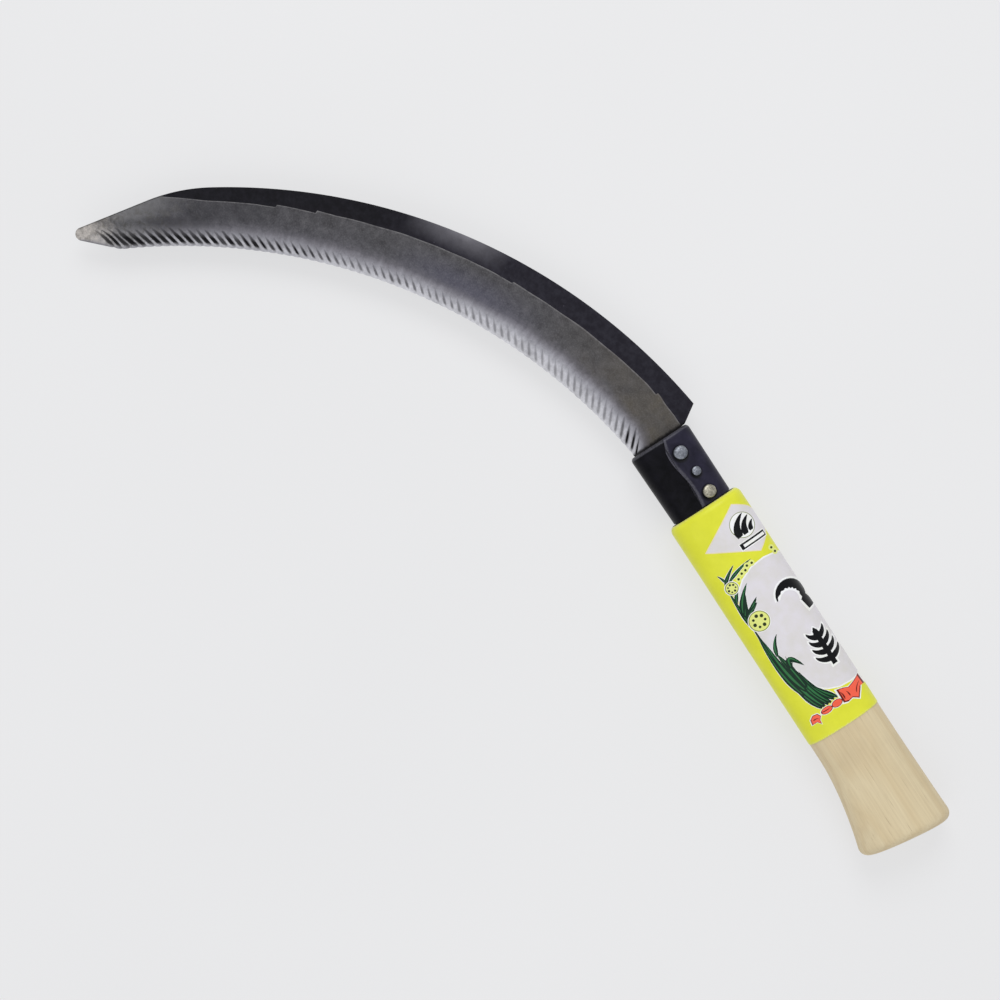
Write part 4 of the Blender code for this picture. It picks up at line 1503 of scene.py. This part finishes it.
def ferrule_material():
    """Blue-black coating with a painted sheen that makes one half lighter and bluer, worn at its
    rims and seam, with soiling and a painted shadow by the rivets.
    """
    g = Graph("ferrule_coating")
    place = g.place()
    mottle = g.noise(place, 0.22, 5.0, 0.6, 0.5)
    grain = g.noise(place, 1.9, 6.0, 0.7)
    scratches = g.noise(g.place((0.5, 3.5, 3.5)), 1.0, 3.0, 0.6, 0.8)
    mottled = g.remap(mottle, 0.35, 0.7)
    black = g.mix(mottled, srgb(4, 4, 7), srgb(19, 18, 25))
    lit_blue_half = g.mix(mottled, srgb(32, 31, 43), srgb(46, 44, 60))
    # painted sheen: the -Y half of the sheet is lighter and bluer than the +Y half
    coat = g.mix(g.remap(g.attribute("turn"), 0.42, 0.58), black, lit_blue_half)
    coat = g.coat(coat, (66, 66, 76), (scratches, 0.68, 0.8, 0.0, 0.25))
    wear = g.product(g.attribute("wear"), g.remap(grain, 0.35, 0.65, 0.2, 0.8))
    coat = g.mix(wear, coat, srgb(98, 97, 104))
    # soiling and a painted shadow by the rivets
    coat = g.mix(g.product(g.attribute("dirt_and_shade"), 0.95), coat, srgb(2, 2, 3))
    g.set("Base Color", coat)
    g.set("Metallic", g.remap(wear, 0.0, 1.0, 0.0, 0.6))
    g.set("Specular IOR Level", 0.1)
    g.set("Roughness", g.remap(grain, 0.3, 0.7, 0.34, 0.5))
    g.bump(g.total(g.product(mottle, 0.6), g.product(grain, 0.4)), 0.06)
    return g.material


def rivet_material(name, light, dark):
    """Hammered steel, mottled, with fine pits."""
    g = Graph(name)
    place = g.place()
    grain = g.noise(place, 1.3, 6.0, 0.7)
    pits = g.remap(g.spots(place, 1.5), 0.1, 0.28, 1.0, 0.0)
    steel = g.mix(g.remap(grain, 0.35, 0.68), dark, light)
    steel = g.mix(g.product(pits, 0.4), steel, srgb(60, 60, 66))
    g.set("Base Color", steel)
    g.set("Metallic", 0.85)
    g.set("Roughness", g.remap(grain, 0.3, 0.7, 0.32, 0.5))
    g.bump(g.calc("SUBTRACT", grain, g.product(pits, 0.5)), 0.08)
    return g.material


def label_material():
    """Printed film: ink with faint mottling, scuffed at its two ends, satin gloss."""
    g = Graph("label_film")
    place = g.place()
    ink = g.attribute("print", "Color")
    mottle = g.noise(place, 0.16, 4.0, 0.6)
    grain = g.noise(place, 2.6, 5.0, 0.7)
    scuffs = g.noise(g.place((0.25, 1.6, 1.6)), 1.0, 5.0, 0.7, 0.6)
    ink = g.mix(g.remap(mottle, 0.35, 0.7, 0.0, 0.16), ink, srgb(196, 198, 60), "MULTIPLY")
    ink = g.coat(ink, (236, 236, 222), (scuffs, 0.68, 0.8, 0.0, 0.25))
    axes = g.split(place)
    middle = (label_box[0].x + label_box[1].x) / 2 / MM
    reach = (label_box[1].x - label_box[0].x) / 2 / MM
    at_end = g.remap(g.off_from(axes[0], middle), reach - 0.7, reach)
    worn = g.product(at_end, g.remap(grain, 0.42, 0.62))
    ink = g.mix(g.product(worn, 0.5), ink, srgb(232, 228, 206))
    g.set("Base Color", ink)
    g.set("Specular IOR Level", 0.2)
    g.set("Roughness", g.remap(scuffs, 0.4, 0.8, 0.3, 0.5))
    g.bump(g.total(g.product(mottle, 1.0), g.product(grain, 0.08)), 0.12)
    return g.material


def floor_material():
    """A pale table that glows a little, which keeps the shadows faint."""
    g = Graph("pale_floor")
    cloud = g.noise(g.place(), 0.004, 2.0)
    pale = g.mix(cloud, srgb(229, 229, 230), srgb(235, 235, 236))
    g.set("Base Color", g.mix(1.0 - FLOOR_GLOW, srgb(0, 0, 0), pale))
    g.set("Emission Color", pale)
    g.set("Emission Strength", FLOOR_GLOW)
    g.set("Roughness", 0.9)
    return g.material


# Stage, lights and camera

def build_floor():
    bpy.ops.mesh.primitive_plane_add(
        size=FLOOR_SIZE, location=(*FLOOR_CENTRE, cad_box[0].z - FLOOR_DROP))
    floor = bpy.context.object
    floor.name = "floor"
    floor.data.materials.append(floor_material())


def add_area_light(name, place, target, size, power):
    light = bpy.data.lights.new(name, "AREA")
    light.shape = "DISK"
    light.size = size
    light.energy = power
    item = add_object(name, light)
    item.location = place
    item.rotation_euler = (target - item.location).to_track_quat("-Z", "Y").to_euler()


def build_lights(target):
    world = bpy.data.worlds.new("studio")
    world.use_nodes = True
    background = world.node_tree.nodes["Background"]
    background.inputs["Color"].default_value = (*srgb(236, 238, 242), 1.0)
    background.inputs["Strength"].default_value = WORLD_STRENGTH
    bpy.context.scene.world = world
    add_area_light("key", target + Vector((0.75, -0.5, 1.1)), target, 0.9, 9.0)
    add_area_light("fill", target + Vector((-0.7, 0.7, 1.2)), target, 1.4, 5.0)


def build_camera():
    """Looks straight down on the toothed face, with the tip up and to the left."""
    centre = (cad_box[0] + cad_box[1]) / 2
    target = Vector((centre.x + VIEW_SHIFT.x, centre.y + VIEW_SHIFT.y, 0.0))
    camera = add_object("camera", bpy.data.cameras.new("camera"))
    camera.data.sensor_width = SENSOR_WIDTH
    camera.data.lens = LENS
    right = Vector(VIEW_RIGHT).normalized()
    up = Vector((-right.y, right.x, 0.0))
    back = right.cross(up)
    height = VIEW_WIDTH * LENS / SENSOR_WIDTH
    turn = Matrix((right, up, back)).transposed().to_4x4()
    camera.matrix_world = Matrix.Translation(target + back * height) @ turn
    bpy.context.scene.camera = camera
    return target


def main():
    place_piece(build_blade(blade_material()), "blade")
    place_piece(build_handle(wood_material()), "handle")
    place_piece(build_ferrule(ferrule_material()), "ferrule")
    place_piece(build_label(label_material()), "label")
    grey = rivet_material("rivet_grey", srgb(164, 168, 176), srgb(96, 99, 107))
    # painted reflection: the rear rivet is steel like the others, its yellowish tint copied from
    # the label beside it
    warm = rivet_material("rivet_warm", srgb(200, 196, 178), srgb(126, 121, 106))
    for name, centre, radius in RIVET_PLACES:
        material = warm if name == "rivet_rear" else grey
        place_piece(build_rivet(name, centre, radius, material), name)
    build_floor()
    build_lights(build_camera())
    bpy.context.scene.view_settings.view_transform = "Standard"


main()
